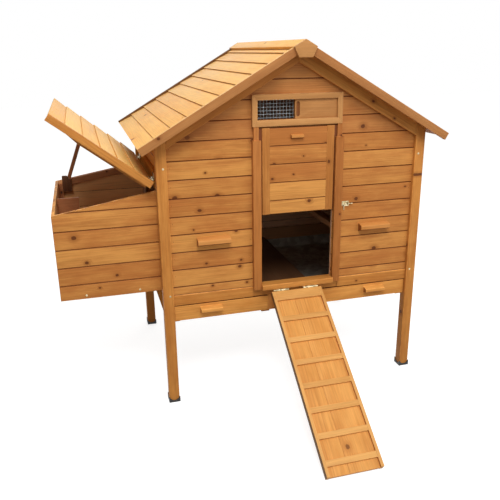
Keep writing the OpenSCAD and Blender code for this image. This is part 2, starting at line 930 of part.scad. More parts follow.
// Leaf screwed to the ledger, with the outer knuckles and the pin; pin along X
module ledger_leaf() {
    k = hinge_l / 3;
    cube([hinge_l, leaf_t, leaf_w]);
    for (x = [0, 2 * k])
        translate([x, -knuckle_r, 0]) rotate([0, 90, 0]) cylinder(r = knuckle_r, h = k);
    translate([0, -knuckle_r, 0]) rotate([0, 90, 0]) cylinder(r = pin_r, h = hinge_l);
}

// Leaf under the sill, its outer knuckles in front of it; pin along X at the origin
module sill_leaf() {
    k = ramp_hinge_l / 3;
    union() {
        for (x = [0, 2 * k])
            translate([x, 0, 0]) {
                rotate([0, 90, 0]) cylinder(r = knuckle_r, h = k);
                translate([0, 0, knuckle_r - leaf_t]) cube([k, knuckle_r + 1, leaf_t]);
            }
        translate([0, knuckle_r + 0.5, knuckle_r - leaf_t])
            cube([ramp_hinge_l, leaf_w - knuckle_r, leaf_t]);
        rotate([0, 90, 0]) cylinder(r = pin_r, h = ramp_hinge_l);
    }
}

// Leaves screwed to the sill and to the ledger
module fixed_hinge_leaves() {
    color(zinc_c)
        place() {
            for (x = ramp_hinge_x)
                translate([x, ramp_pin_y, ramp_pin_z]) sill_leaf();
            for (y = lid_hinge_y)
                translate([lid_pin_x + knuckle_r, y, lid_pin_z])
                    mirror([0, 1, 0])
                        rotate([0, 0, -90])
                            cut_leaf_gap() ledger_leaf();
        }
}

// Takes the space of the middle knuckle out of a fixed leaf, but leaves the pin
module cut_leaf_gap() {
    k = hinge_l / 3;
    union() {
        difference() {
            children();
            translate([k, -2 * knuckle_r - 1, -knuckle_r - 1])
                cube([k, 2 * knuckle_r + leaf_t + 2, 2 * knuckle_r + 1.5]);
        }
        translate([0, -knuckle_r, 0]) rotate([0, 90, 0]) cylinder(r = pin_r, h = hinge_l);
    }
}

// Two perches from the front wall to the rear wall, on blocks
module perches() {
    perch_h = perch_w * 0.58;
    block = perch_w * 0.8;
    far_y = rear_y - board_t;
    color(frame_c)
        place()
            for (x = [mid_x - perch_off, mid_x + perch_off]) {
                translate([x - perch_w / 2, in_y, perch_z])
                    cube([perch_w, far_y - in_y, perch_h]);
                for (y = [in_y, far_y - block])
                    translate([x - perch_w / 2 - 5, y, perch_z - block - 0.1])
                        cube([perch_w + 10, block, block]);
            }
}

// Bright screw heads in the legs and under the nest box board
module screws() {
    head_r = 4;
    head_h = 1.2;
    color(zinc_c)
        place() {
            for (x = [screw_in, body_w - screw_in], z = [rail_top_z + 3, gable_z - 92])
                translate([x, 0, z]) rotate([90, 0, 0]) cylinder(r = head_r, h = head_h);
            for (x = [-nest_out * 0.75, -nest_out * 0.22])
                translate([x, nest_y, nest_z + 14])
                    rotate([90, 0, 0]) cylinder(r = head_r, h = head_h);
        }
}

// Sliding door: boards between two stiles, with tongues that run in the rails
module pop_door_boards() {
    color(wall_c)
        place()
            translate([door_x + stile_w - groove + run, door_y + 1, 0])
                door_boards(door_w + 2 * groove - 2 * run - 2 * stile_w);
}

module door_boards(length) {
    first = door_z + door_h - 66;
    z = concat([door_z], [for (k = [3:-1:0]) first - k * course], [door_z + door_h]);
    thick = door_t - 1;
    for (i = [0:len(z) - 2])
        translate([0, 0, z[i]])
            rotate([90, 0, 90])
                linear_extrude(length)
                    polygon([[1.5, 0], [thick, 0], [thick, z[i + 1] - z[i] - gap],
                        [1.5, z[i + 1] - z[i] - gap], [0, z[i + 1] - z[i] - gap - 1.5],
                        [0, 1.5]]);
}

// Stiles, each with a tongue for the rail's groove behind a rebate
module pop_door_stiles() {
    color(frame_c)
        place() {
            door_stile();
            difference() {
                translate([2 * door_x + door_w, 0, 0]) mirror([1, 0, 0]) door_stile();
                translate([mid_x, bolt_y, bolt_z])
                    rotate([0, 90, 0]) cylinder(r = bolt_r + 0.5, h = body_w / 2);
            }
        }
}

module door_stile() {
    x0 = door_x - groove + run;
    inner = x0 + stile_w;
    translate([0, 0, door_z])
        linear_extrude(door_h)
            polygon([[x0, door_y + rebate_d], [door_x + rebate, door_y + rebate_d],
                [door_x + rebate, door_y], [inner, door_y], [inner, door_y + door_t],
                [x0, door_y + door_t]]);
}

module pop_door_handle() {
    length = 50;
    half = 30;
    color(frame_c)
        place()
            translate([mid_x - half, door_y + 1, door_z + pull_up]) pull(length, 18, 13);
}

// Moves children from the lid's own frame to its propped place: s runs along -X, n along -Z
module on_lid() {
    translate([lid_pin_x, 0, lid_pin_z])
        rotate([0, lid_open, 0])
            children();
}

module lid_boards() {
    lines = [for (i = [0:lid_boards_n]) i * lid_course];
    color(roof_c)
        place()
            on_lid()
                translate([-lid_len, lid_y0 + fascia_t, -butt_t])
                    weather_boards(lines, lid_y1 - lid_y0 - fascia_t);
}

module lid_frame() {
    bar_l = (nest_d - 3 * batten) / 2 - board_t + batten / 2;
    color(frame_c)
        place()
            on_lid() {
                translate([-lid_len, lid_y0, -lid_edge_h])
                    cube([lid_len - lid_start, fascia_t, lid_edge_h]);
                translate([-lid_len + 6, lid_y1 - fascia_t, -lid_edge_h])
                    cube([lid_len - lid_start - 6, fascia_t, lid_edge_h - butt_t]);
                for (y = [nest_y, nest_y + nest_d / 2 - batten / 2])
                    lid_batten(y);
                for (y = [nest_y + batten, nest_y + nest_d / 2 + batten / 2])
                    translate([-lid_bar_s, y + seam, -lid_edge_h])
                        cube([batten, bar_l - 2 * seam, lid_edge_h - butt_t]);
                union() {
                    lid_batten(nest_back_y - board_t);
                    translate([-prop_s, nest_back_y + 2, -prop_n])
                        rotate([90, 0, 0])
                            cylinder(r = prop_pin_r, h = nest_back_y + 2 - prop_y + 2);
                }
            }
}

// Batten under the lid, its outer end cut on a slant up to the edge boards' depth
module lid_batten(y) {
    translate([0, y + batten, 0])
        rotate([90, 0, 0])
            linear_extrude(batten)
                polygon([[-lid_bar_s, -butt_t], [-lid_bar_s, -lid_edge_h],
                    [-lid_bar_s + batten_slant, -lid_t], [-2 * lid_start, -lid_t],
                    [-2 * lid_start, -butt_t]]);
}

// Moving leaves, bent down beside the pin so that they lie on the thin edge of the lid
module lid_hinge_leaves() {
    color(zinc_c)
        place()
            on_lid()
                for (y = lid_hinge_y)
                    translate([0, y, 0]) bent_leaf();
}

module bent_leaf() {
    k = hinge_l / 3;
    reach = lid_start + roof_lap;
    down = thin_t - butt_t;
    difference() {
        union() {
            translate([0, k + 0.3, 0]) rotate([-90, 0, 0]) cylinder(r = knuckle_r, h = k - 0.6);
            translate([-knuckle_r - 1, k + 0.3, down])
                cube([knuckle_r + 1, k - 0.6, -down]);
            translate([-reach, 0, down]) cube([reach - knuckle_r - 1, hinge_l, leaf_t]);
        }
        translate([0, -1, 0]) rotate([-90, 0, 0]) cylinder(r = pin_r + fit, h = hinge_l + 2);
    }
}

// Prop stick: eye on the lid pin, foot cut to the slope of its seat
module lid_prop() {
    over = 30;
    color(dark_c)
        place()
            difference() {
                translate([prop_pin_x, prop_y + prop_t, prop_pin_z])
                    rotate([90, 0, 0])
                        linear_extrude(prop_t)
                            difference() {
                                rotate(-180 + prop_lean)
                                    translate([-10, -prop_w / 2])
                                        square([prop_len + over, prop_w]);
                                translate([prop_foot_x - prop_pin_x, prop_foot_z - prop_pin_z])
                                    rotate(-seat_slope)
                                        translate([-60, -80]) square([120, 80]);
                            }
                translate([prop_pin_x, prop_y - 1, prop_pin_z])
                    rotate([-90, 0, 0]) cylinder(r = prop_pin_r + 0.1, h = prop_t + 2);
            }
}

// Moves children from the ramp's own frame to its lowered place: along -Y, face up
module on_ramp() {
    translate([ramp_x, ramp_pin_y, ramp_pin_z])
        rotate([ramp_a, 0, 0])
            children();
}

module ramp_boards() {
    inner = ramp_w - 2 * ramp_rail_w;
    narrow = ramp_w * 0.35;
    color(ramp_c)
        place()
            on_ramp()
                translate([ramp_rail_w, -ramp_len, -cleat_h - ramp_board_t]) {
                    cube([narrow - gap / 2, ramp_len - ramp_start, ramp_board_t]);
                    translate([narrow + gap / 2, 0, 0])
                        cube([inner - narrow - gap / 2, ramp_len - ramp_start, ramp_board_t]);
                }
}

module ramp_rails() {
    color(ramp_c)
        place()
            on_ramp()
                for (x = [0, ramp_w - ramp_rail_w])
                    translate([x, -ramp_len, -ramp_rail_h])
                        cube([ramp_rail_w, ramp_len - ramp_start, ramp_rail_h]);
}

module ramp_cleats() {
    inner = ramp_w - 2 * ramp_rail_w;
    color(ramp_c)
        place()
            on_ramp() {
                translate([ramp_rail_w, -ramp_start - top_cleat_w, -cleat_h])
                    cube([inner, top_cleat_w, cleat_h]);
                for (s = [ramp_start + top_cleat_w + cleat_pitch:cleat_pitch:ramp_len - 20])
                    translate([ramp_rail_w, -s, -cleat_h])
                        cube([inner, cleat_w, cleat_h]);
            }
}

module ramp_hinge_leaves() {
    color(zinc_c)
        place()
            on_ramp()
                for (x = ramp_hinge_x)
                    translate([x - ramp_x, 0, 0]) end_leaf();
}

// Moving leaf on the end of the ramp, with the middle knuckle
module end_leaf() {
    k = ramp_hinge_l / 3;
    depth = ramp_board_t + cleat_h - 2;
    difference() {
        union() {
            translate([k + 0.3, 0, 0]) rotate([0, 90, 0]) cylinder(r = knuckle_r, h = k - 0.6);
            translate([k + 0.3, -ramp_start, -depth]) cube([k - 0.6, leaf_t, depth]);
            translate([0, -ramp_start, -depth])
                cube([ramp_hinge_l, leaf_t, depth - knuckle_r - 0.5]);
        }
        translate([-1, 0, 0])
            rotate([0, 90, 0]) cylinder(r = pin_r + fit, h = ramp_hinge_l + 2);
    }
}

// Open sheet tray between x0 and x1
module tray_pan(x0, x1) {
    color(zinc_c)
        place()
            difference() {
                translate([x0, wall_y + front_t, tray_z])
                    cube([x1 - x0, pan_end_y - wall_y - front_t, pan_h]);
                translate([x0 + sheet, wall_y + front_t + sheet, tray_z + sheet])
                    cube([x1 - x0 - 2 * sheet, pan_end_y - wall_y - front_t - 2 * sheet, pan_h]);
            }
}

// Tray front with its pull, the pull's left end at px
module tray_front(x0, x1, px) {
    pull_z = tray_z + front_h * 0.36;
    color(frame_c)
        place() {
            translate([x0, wall_y, tray_z]) cube([x1 - x0, front_t, front_h]);
            translate([px, wall_y + 0.1, pull_z])
                pull(tray_grip_l, front_h * 0.44, grip_d * 0.8);
        }
}

tray_x0 = leg + 2;
tray_x3 = body_w - leg - 2;

module tray_left_pan() { tray_pan(tray_x0, centre_x0 - 1); }
module tray_left_front() { tray_front(tray_x0, centre_x0, tray_grip_side); }
module tray_right_pan() { tray_pan(centre_x1 + 1, tray_x3); }
module tray_right_front() {
    tray_front(centre_x1, tray_x3, body_w - tray_grip_side - tray_grip_l);
}

leg_front_left();
leg_front_right();
leg_rear_left();
leg_rear_right();
foot_caps();
bottom_rails();
front_wall_left();
front_wall_right();
front_wall_upper();
front_gable();
gable_trims();
rear_wall();
left_wall();
right_wall();
inner_battens();
side_skirts();
tray_bearers();
centre_floor();
pop_sill();
door_rail_left();
door_rail_right();
panel_handles();
vent_frame();
vent_mesh();
bolt_base();
roof_boards_left();
roof_boards_right();
roof_frame();
bargeboards();
ridge_cap();
ridge_plates();
nest_front();
nest_back();
nest_end();
nest_floor();
nest_divider();
nest_posts();
prop_seat();
hinge_ledger();
fixed_hinge_leaves();
perches();
screws();
pop_door_boards();
pop_door_stiles();
pop_door_handle();
vent_shutter();
bolt_rod();
lid_boards();
lid_frame();
lid_hinge_leaves();
lid_prop();
ramp_boards();
ramp_rails();
ramp_cleats();
ramp_hinge_leaves();
tray_left_pan();
tray_left_front();
tray_right_pan();
tray_right_front();
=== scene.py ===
"""Raised timber chicken coop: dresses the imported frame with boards, fittings and a studio."""

import json
import logging
import math
import random
from dataclasses import dataclass
from enum import Enum
from typing import Callable, Sequence

import bmesh
import bpy
from mathutils import Matrix, Vector


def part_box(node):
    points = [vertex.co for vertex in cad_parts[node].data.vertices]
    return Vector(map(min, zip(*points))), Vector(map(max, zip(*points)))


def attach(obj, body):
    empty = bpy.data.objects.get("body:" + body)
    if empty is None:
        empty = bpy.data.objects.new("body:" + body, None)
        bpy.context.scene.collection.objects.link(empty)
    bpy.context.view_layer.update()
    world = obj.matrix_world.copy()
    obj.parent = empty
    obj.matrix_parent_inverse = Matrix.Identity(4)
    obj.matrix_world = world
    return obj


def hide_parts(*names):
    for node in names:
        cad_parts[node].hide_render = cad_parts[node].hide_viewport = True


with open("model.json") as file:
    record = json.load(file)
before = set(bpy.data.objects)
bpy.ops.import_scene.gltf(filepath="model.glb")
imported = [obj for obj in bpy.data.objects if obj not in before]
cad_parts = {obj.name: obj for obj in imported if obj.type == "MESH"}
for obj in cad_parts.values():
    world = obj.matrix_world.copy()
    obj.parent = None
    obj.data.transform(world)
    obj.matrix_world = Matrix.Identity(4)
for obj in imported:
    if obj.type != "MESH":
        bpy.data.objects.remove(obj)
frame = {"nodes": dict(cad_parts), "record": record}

log = logging.getLogger("coop")
logging.basicConfig(level=logging.INFO, format="%(message)s")

MM = 0.001
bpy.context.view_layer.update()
WHITE = (1.0, 1.0, 1.0, 1.0)
FRONT, REAR = Vector((0, -1, 0)), Vector((0, 1, 0))
LEFT, RIGHT = Vector((-1, 0, 0)), Vector((1, 0, 0))
DOWN, UP = Vector((0, 0, -1)), Vector((0, 0, 1))

Socket = bpy.types.NodeSocket
Value = float | Sequence[float] | Socket
Mesh = bmesh.types.BMesh
Corner = bmesh.types.BMVert
Piece = bpy.types.Object
Material = bpy.types.Material
Colour = tuple[float, ...]
Shade = tuple[int, int, int]
Pair = tuple[float, float]
Place = tuple[float, float, float]
# The directions along, across and through a board, and its middle.
Lie = tuple[Vector, Vector, Vector, Vector]
# A place on a surface and the direction that it faces.
Spot = tuple[Vector, Vector]
# Tells something about a face from its middle and its direction.
Test = Callable[[Vector, Vector], bool]


def stain(colour: Shade) -> Colour:
    """Turns a colour of 0 to 255 as it shows into the shader's linear colour with an alpha of 1."""
    shares = [channel / 255 for channel in colour]
    return (*(c / 12.92 if c <= 0.04045 else ((c + 0.055) / 1.055) ** 2.4 for c in shares), 1.0)


class Recipe:
    """Writes the nodes of a material or a world with short calls."""

    def __init__(self, owner: Material | bpy.types.World) -> None:
        """Starts with no nodes.

        Args:
            owner: The material or world that gets the nodes.
        """
        self.owner = owner
        owner.use_nodes = True
        self.tree = owner.node_tree
        self.tree.nodes.clear()

    def node(self, kind: str, inputs: dict[str | int, Value], **settings: object) -> bpy.types.Node:
        """Adds a node, sets its options and fills or links its inputs.

        Args:
            kind: The node type's name, without ShaderNode.
            inputs: Values or sockets by input name or number.
            settings: Options of the node.

        Returns:
            The new node.
        """
        made = self.tree.nodes.new(f"ShaderNode{kind}")
        for key, value in settings.items():
            setattr(made, key, value)
        for key, value in inputs.items():
            if isinstance(value, Socket):
                self.tree.links.new(value, made.inputs[key])
            else:
                made.inputs[key].default_value = value
        return made

    def attribute(self, name: str, output: str = "Vector") -> Socket:
        """Returns an attribute that the joiner wrote on the mesh."""
        return self.node("Attribute", {}, attribute_name=name).outputs[output]

    def place(self) -> Socket:
        """Returns the place in the object's own space, in metres."""
        return self.node("TexCoord", {}).outputs["Object"]

    def math(self, operation: str, first: Value, second: Value = 0.0, third: Value = 0.0) -> Socket:
        """Returns the result of one sum on up to three numbers."""
        inputs = {0: first, 1: second, 2: third}
        return self.node("Math", inputs, operation=operation).outputs[0]

    def times(self, first: Value, second: Value) -> Socket:
        """Returns the product of two numbers."""
        return self.math("MULTIPLY", first, second)

    def vector(self, operation: str, first: Value, second: Value = (0, 0, 0), output: int = 0) -> Socket:
        """Returns the result of one sum on vectors, a length being output 1."""
        inputs = {0: first, 1: second}
        return self.node("VectorMath", inputs, operation=operation).outputs[output]

    def split(self, value: Socket) -> list[Socket]:
        """Returns a vector's three parts."""
        return list(self.node("SeparateXYZ", {0: value}).outputs)

    def join(self, x: Value, y: Value, z: Value) -> Socket:
        """Returns a vector made of three parts."""
        return self.node("CombineXYZ", {0: x, 1: y, 2: z}).outputs[0]

    def noise(self, place: Socket, scale: float, detail: float = 3.0, rough: float = 0.55) -> Socket:
        """Returns soft noise about 0.5, of so many features per metre and finer layers."""
        inputs = {"Vector": place, "Scale": scale, "Detail": detail, "Roughness": rough}
        return self.node("TexNoise", inputs).outputs["Fac"]

    def step(self, value: Value, low: float, high: float, start: float = 0.0, end: float = 1.0) -> Socket:
        """Maps low..high of a number to start..end with eased ends, and holds it beyond."""
        inputs = {"Value": value, "From Min": low, "From Max": high, "To Min": start, "To Max": end}
        return self.node("MapRange", inputs, interpolation_type="SMOOTHSTEP").outputs[0]

    def mix(self, share: Value, first: Value, second: Value, blend: str = "MIX") -> Socket:
        """Mixes two colours, share being how much of the second."""
        inputs = {0: share, 6: first, 7: second}
        return self.node("Mix", inputs, data_type="RGBA", blend_type=blend).outputs[2]

    def looks(self) -> Socket:
        """Tells the rays that look at a thing from those that only light it.

        Returns:
            1 for rays that look straight, in a reflection or through glass.
        """
        rays = self.node("LightPath", {}).outputs
        mirrored = self.math("MAXIMUM", rays["Is Camera Ray"], rays["Is Glossy Ray"])
        return self.math("MAXIMUM", mirrored, rays["Is Transmission Ray"])

    def bump(self, height: Socket, strength: float, depth: float) -> Socket:
        """Turns a height of 0 to 1 into a normal; depth is what 1 stands for, in metres."""
        inputs = {"Height": height, "Strength": strength, "Distance": depth}
        return self.node("Bump", inputs).outputs[0]

    def surface(self, **sockets: Value) -> Material:
        """Ends a material's recipe with a surface shader.

        Args:
            sockets: Inputs of the shader, with spaces written as underscores.

        Returns:
            The finished material.
        """
        inputs = {name.replace("_", " "): value for name, value in sockets.items()}
        shader = self.node("BsdfPrincipled", inputs)
        self.node("OutputMaterial", {"Surface": shader.outputs[0]})
        return self.owner


@dataclass(frozen=True)
class Timber:
    """Softwood under a transparent stain, with soft rings, fibre, knots and dark joints.

    Colours are 0 to 255 as they show in plain light. The painted lighting is the colour of marked faces:
    painted light on the walls inside the house and the nest box, painted shade on the frame inside the
    house, on undersides, rebates and grooves, and a painted highlight on the front bargeboards' tops. Faces
    marked dark take the joints' colour as painted shade. Triples of numbers count features per metre
    along, across and through a board, and lengths are in metres.
    """

    name: str
    pale: Shade
    deep: Shade
    late: Shade
    knot: Shade = (104, 52, 20)
    joint: Shade = (100, 44, 8)
    # Painted light on walls inside the house and nest box, painted shade on undersides, rebates and
    # grooves, a painted highlight on tops.
    painted_lighting: Shade = (182, 116, 64)
    figure: float = 0.34
    knots: float = 0.42
    roughness: float = 0.58
    gloss: float = 0.2
    tone: float = 0.7
    halo_share: float = 0.62
    knot_share: float = 0.9
    wear_and_highlight_share: float = 0.42
    joint_and_shade_share: float = 0.86
    wear_highlight_lift: float = 1.14
    wear_highlight_add: int = 12
    wear_highlight_top: int = 243
    fibre: Place = (7.0, 380.0, 380.0)
    streaks: Place = (2.2, 70.0, 70.0)
    blotches: Place = (3.0, 9.0, 9.0)
    sway: Place = (1.0, 5.0, 5.0)
    fine_sway: Place = (3.0, 60.0, 60.0)
    board_step: Place = (37.0, 61.0, 23.0)
    ring: float = 0.0052
    bent: float = 0.006
    knot_cell: Pair = (0.16, 0.075)
    knot_radius: Pair = (0.0028, 0.0088)
    knot_rings: float = 900.0
    relief: float = 0.0006

    def material(self) -> Material:
        """Builds the node material.

        Returns:
            The material.
        """
        r = Recipe(bpy.data.materials.new(self.name))
        grain = r.attribute("grain")
        board = r.attribute("board", "Fac")
        shift = r.join(*(r.times(board, step) for step in self.board_step))
        place = r.vector("ADD", grain, shift)
        knot, halo, distance = self.knot_shape(r, place)
        late = self.rings(r, grain, place, halo)
        fibre = r.noise(r.vector("MULTIPLY", place, self.fibre), 1.0, 3.0, 0.6)

        streaks = r.noise(r.vector("MULTIPLY", place, self.streaks), 1.0, 3.0, 0.6)
        blotches = r.noise(r.vector("MULTIPLY", place, self.blotches), 2.4, 4.0, 0.6)
        depth = r.math("MULTIPLY_ADD", r.math("SUBTRACT", blotches, 0.5), 1.5, board)
        depth = r.math("MULTIPLY_ADD", r.math("SUBTRACT", streaks, 0.5), 0.7, depth)
        colour = r.mix(r.step(depth, 0.02, 1.0), stain(self.pale), stain(self.deep))
        colour = r.mix(r.times(late, self.figure), colour, stain(self.late))
        tone = r.step(fibre, 0.32, 0.7, 0.9, 1.06)
        tone = r.join(tone, tone, tone)
        colour = r.mix(1.0, colour, tone, "MULTIPLY")

        colour = r.mix(r.times(halo, self.halo_share), colour, stain(self.late))
        knot_rings = r.math("FRACT", r.times(distance, self.knot_rings))
        knot_tone = r.mix(r.step(knot_rings, 0.2, 0.8), stain(self.knot), self.darker(self.knot))
        colour = r.mix(r.times(knot, self.knot_share), colour, knot_tone)
        colour = self.faces(r, place, late, tone, colour)

        height = r.math("MULTIPLY_ADD", late, 0.4, r.times(fibre, 0.7))
        height = r.math("SUBTRACT", height, r.times(knot, 0.5))
        rough = r.math("MULTIPLY_ADD", fibre, 0.2, self.roughness - 0.1)
        rough = r.math("MULTIPLY_ADD", late, -0.06, rough)
        normal = r.bump(height, 0.3, self.relief)
        return r.surface(
            Base_Color=colour, Roughness=rough, Normal=normal, IOR=1.45, Specular_IOR_Level=self.gloss
        )

    def darker(self, colour: Shade) -> Colour:
        """Returns a colour's dark tone in the shader's linear colour."""
        return stain(tuple(int(c * self.tone) for c in colour))

    def faces(self, r: Recipe, place: Socket, late: Socket, tone: Socket, colour: Socket) -> Socket:
        """Colours the marked faces: wear on eased edges, pale rims that are partly a painted highlight,
        painted light and shade, and dark joints with painted shade.

        Args:
            r: The recipe.
            place: Where to read, in the board's own grain.
            late: The late wood, 0 to 1.
            tone: The fibre's tone.
            colour: The colour of all other faces.

        Returns:
            The colour of every face.
        """
        edge = r.attribute("edge", "Fac")
        # Wear on eased edges (-1), twice as strong on rims (-2), which are partly raw sawn edges and partly
        # a painted highlight.
        wear_and_highlight = r.math("MAXIMUM", r.times(edge, -1.0), 0.0)
        wear_and_highlight = r.times(wear_and_highlight, r.step(r.noise(place, 38.0, 3.0), 0.36, 0.6))
        lift = min(self.wear_highlight_lift, self.wear_highlight_top / max(self.pale))
        light_edge = stain(tuple(int(c * lift) + self.wear_highlight_add for c in self.pale))
        colour = r.mix(r.times(wear_and_highlight, self.wear_and_highlight_share), colour, light_edge)
        # Painted lighting: marked faces take a lighter or darker colour in place of light and shade,
        # keeping the fibre's tone.
        painted_lighting = r.mix(1.0, stain(self.painted_lighting), tone, "MULTIPLY")
        painted_lighting = r.mix(r.times(late, 0.3), painted_lighting, self.darker(self.painted_lighting))
        colour = r.mix(r.attribute("painted_lighting_faces", "Fac"), colour, painted_lighting)
        # Dark joints, and painted shade on faces marked dark, take the joints' colour.
        joint_and_shade_mask = r.math("MAXIMUM", edge, 0.0)
        return r.mix(r.times(joint_and_shade_mask, self.joint_and_shade_share), colour, stain(self.joint))

    def knot_shape(self, r: Recipe, place: Socket) -> tuple[Socket, Socket, Socket]:
        """Scatters knots over the boards.

        Args:
            r: The recipe.
            place: Where to read, in the board's own grain.

        Returns:
            The knot's core and its halo, 0 to 1, and the distance from its middle in metres.
        """
        along, across, _ = r.split(place)
        cell_x, cell_y = self.knot_cell
        cells = r.join(r.math("DIVIDE", along, cell_x), r.math("DIVIDE", across, cell_y), 0.0)
        inputs = {"Vector": cells, "Scale": 1.0}
        found = r.node("TexVoronoi", inputs, voronoi_dimensions="2D", feature="F1")
        away = r.vector("SUBTRACT", cells, found.outputs["Position"])
        away = r.vector("MULTIPLY", away, (cell_x * 0.8, cell_y, 0.0))
        wobble = r.math("SUBTRACT", r.noise(place, 120.0, 2.0), 0.5)
        distance = r.math("MULTIPLY_ADD", wobble, 0.004, r.vector("LENGTH", away, output=1))
        chance, size, _ = r.split(found.outputs["Color"])
        has = r.step(chance, 1.0 - self.knots, 1.0 - self.knots + 0.01)
        inside = r.math("DIVIDE", distance, r.step(size, 0.0, 1.0, *self.knot_radius))
        core = r.times(r.step(inside, 0.7, 1.05, 1.0, 0.0), has)
        halo = r.times(r.step(inside, 0.8, 3.0, 1.0, 0.0), has)
        return core, halo, distance

    def rings(self, r: Recipe, grain: Socket, place: Socket, halo: Socket) -> Socket:
        """Draws the late wood of rings round the board's own heart, bent round its knots.

        Args:
            r: The recipe.
            grain: Where the point lies in the board, in metres.
            place: The same, moved by a step that differs from board to board.
            halo: How near a knot is, 0 to 1.

        Returns:
            The late wood, 0 to 1.
        """
        x, y, z = r.split(grain)
        aside, below, lean = r.split(r.attribute("pith"))
        slow = r.vector("MULTIPLY", place, self.sway)
        sway = r.math("SUBTRACT", r.noise(slow, 2.2, 2.0), 0.5)
        ring_y = r.math("ADD", r.math("ADD", y, aside), r.times(sway, 0.02))
        ring_z = r.math("ADD", r.math("ADD", z, below), r.times(x, lean))
        rings = r.vector("LENGTH", r.join(ring_y, ring_z, 0.0), output=1)
        rings = r.math("MULTIPLY_ADD", halo, self.bent, rings)
        fine_sway = r.noise(r.vector("MULTIPLY", place, self.fine_sway), 1.0, 2.0)
        rings = r.math("MULTIPLY_ADD", r.math("SUBTRACT", fine_sway, 0.5), 0.0024, rings)
        turns = r.math("FRACT", r.times(rings, 1.0 / self.ring))
        late = r.times(r.step(turns, 0.1, 0.84), r.step(turns, 0.84, 1.0, 1.0, 0.0))
        return r.times(late, r.step(r.noise(slow, 4.1, 2.0), 0.38, 0.66, 0.1, 1.0))


@dataclass(frozen=True)
class PlatedMetal:
    """Zinc or galvanised steel with a mottled, slightly scratched face."""

    name: str
    bright: Shade
    dull: Shade
    grain: float = 90.0
    roughness: float = 0.34
    metallic: float = 0.88
    scratches: Place = (40.0, 900.0, 300.0)
    relief: float = 0.0002

    def material(self) -> Material:
        """Builds the node material.

        Returns:
            The material.
        """
        r = Recipe(bpy.data.materials.new(self.name))
        place = r.place()
        flakes = r.node("TexVoronoi", {"Vector": place, "Scale": self.grain})
        flake = r.split(flakes.outputs["Color"])[0]
        cloud = r.noise(place, self.grain * 0.22, 4.0)
        share = r.math("MULTIPLY_ADD", flake, 0.45, r.times(cloud, 0.6))
        colour = r.mix(r.step(share, 0.2, 0.85), stain(self.dull), stain(self.bright))
        scratches = r.noise(r.vector("MULTIPLY", place, self.scratches), 1.0, 2.0)
        rough = r.math("MULTIPLY_ADD", scratches, 0.14, self.roughness)
        rough = r.math("MULTIPLY_ADD", share, -0.16, rough)
        normal = r.bump(scratches, 0.16, self.relief)
        return r.surface(Base_Color=colour, Roughness=rough, Metallic=self.metallic, Normal=normal)


@dataclass(frozen=True)
class MouldedPlastic:
    """Black moulded plastic with a fine matt skin and patches of dust."""

    name: str
    colour: Shade = (26, 27, 26)
    dust: Shade = (96, 92, 82)
    roughness: float = 0.42
    relief: float = 0.0002

    def material(self) -> Material:
        """Builds the node material.

        Returns:
            The material.
        """
        r = Recipe(bpy.data.materials.new(self.name))
        place = r.place()
        skin = r.noise(place, 1600.0, 2.0)
        dust = r.step(r.noise(place, 60.0, 4.0), 0.5, 0.8)
        colour = r.mix(r.times(dust, 0.3), stain(self.colour), stain(self.dust))
        rough = r.math("MULTIPLY_ADD", dust, 0.2, self.roughness)
        return r.surface(Base_Color=colour, Roughness=rough, Normal=r.bump(skin, 0.3, self.relief))


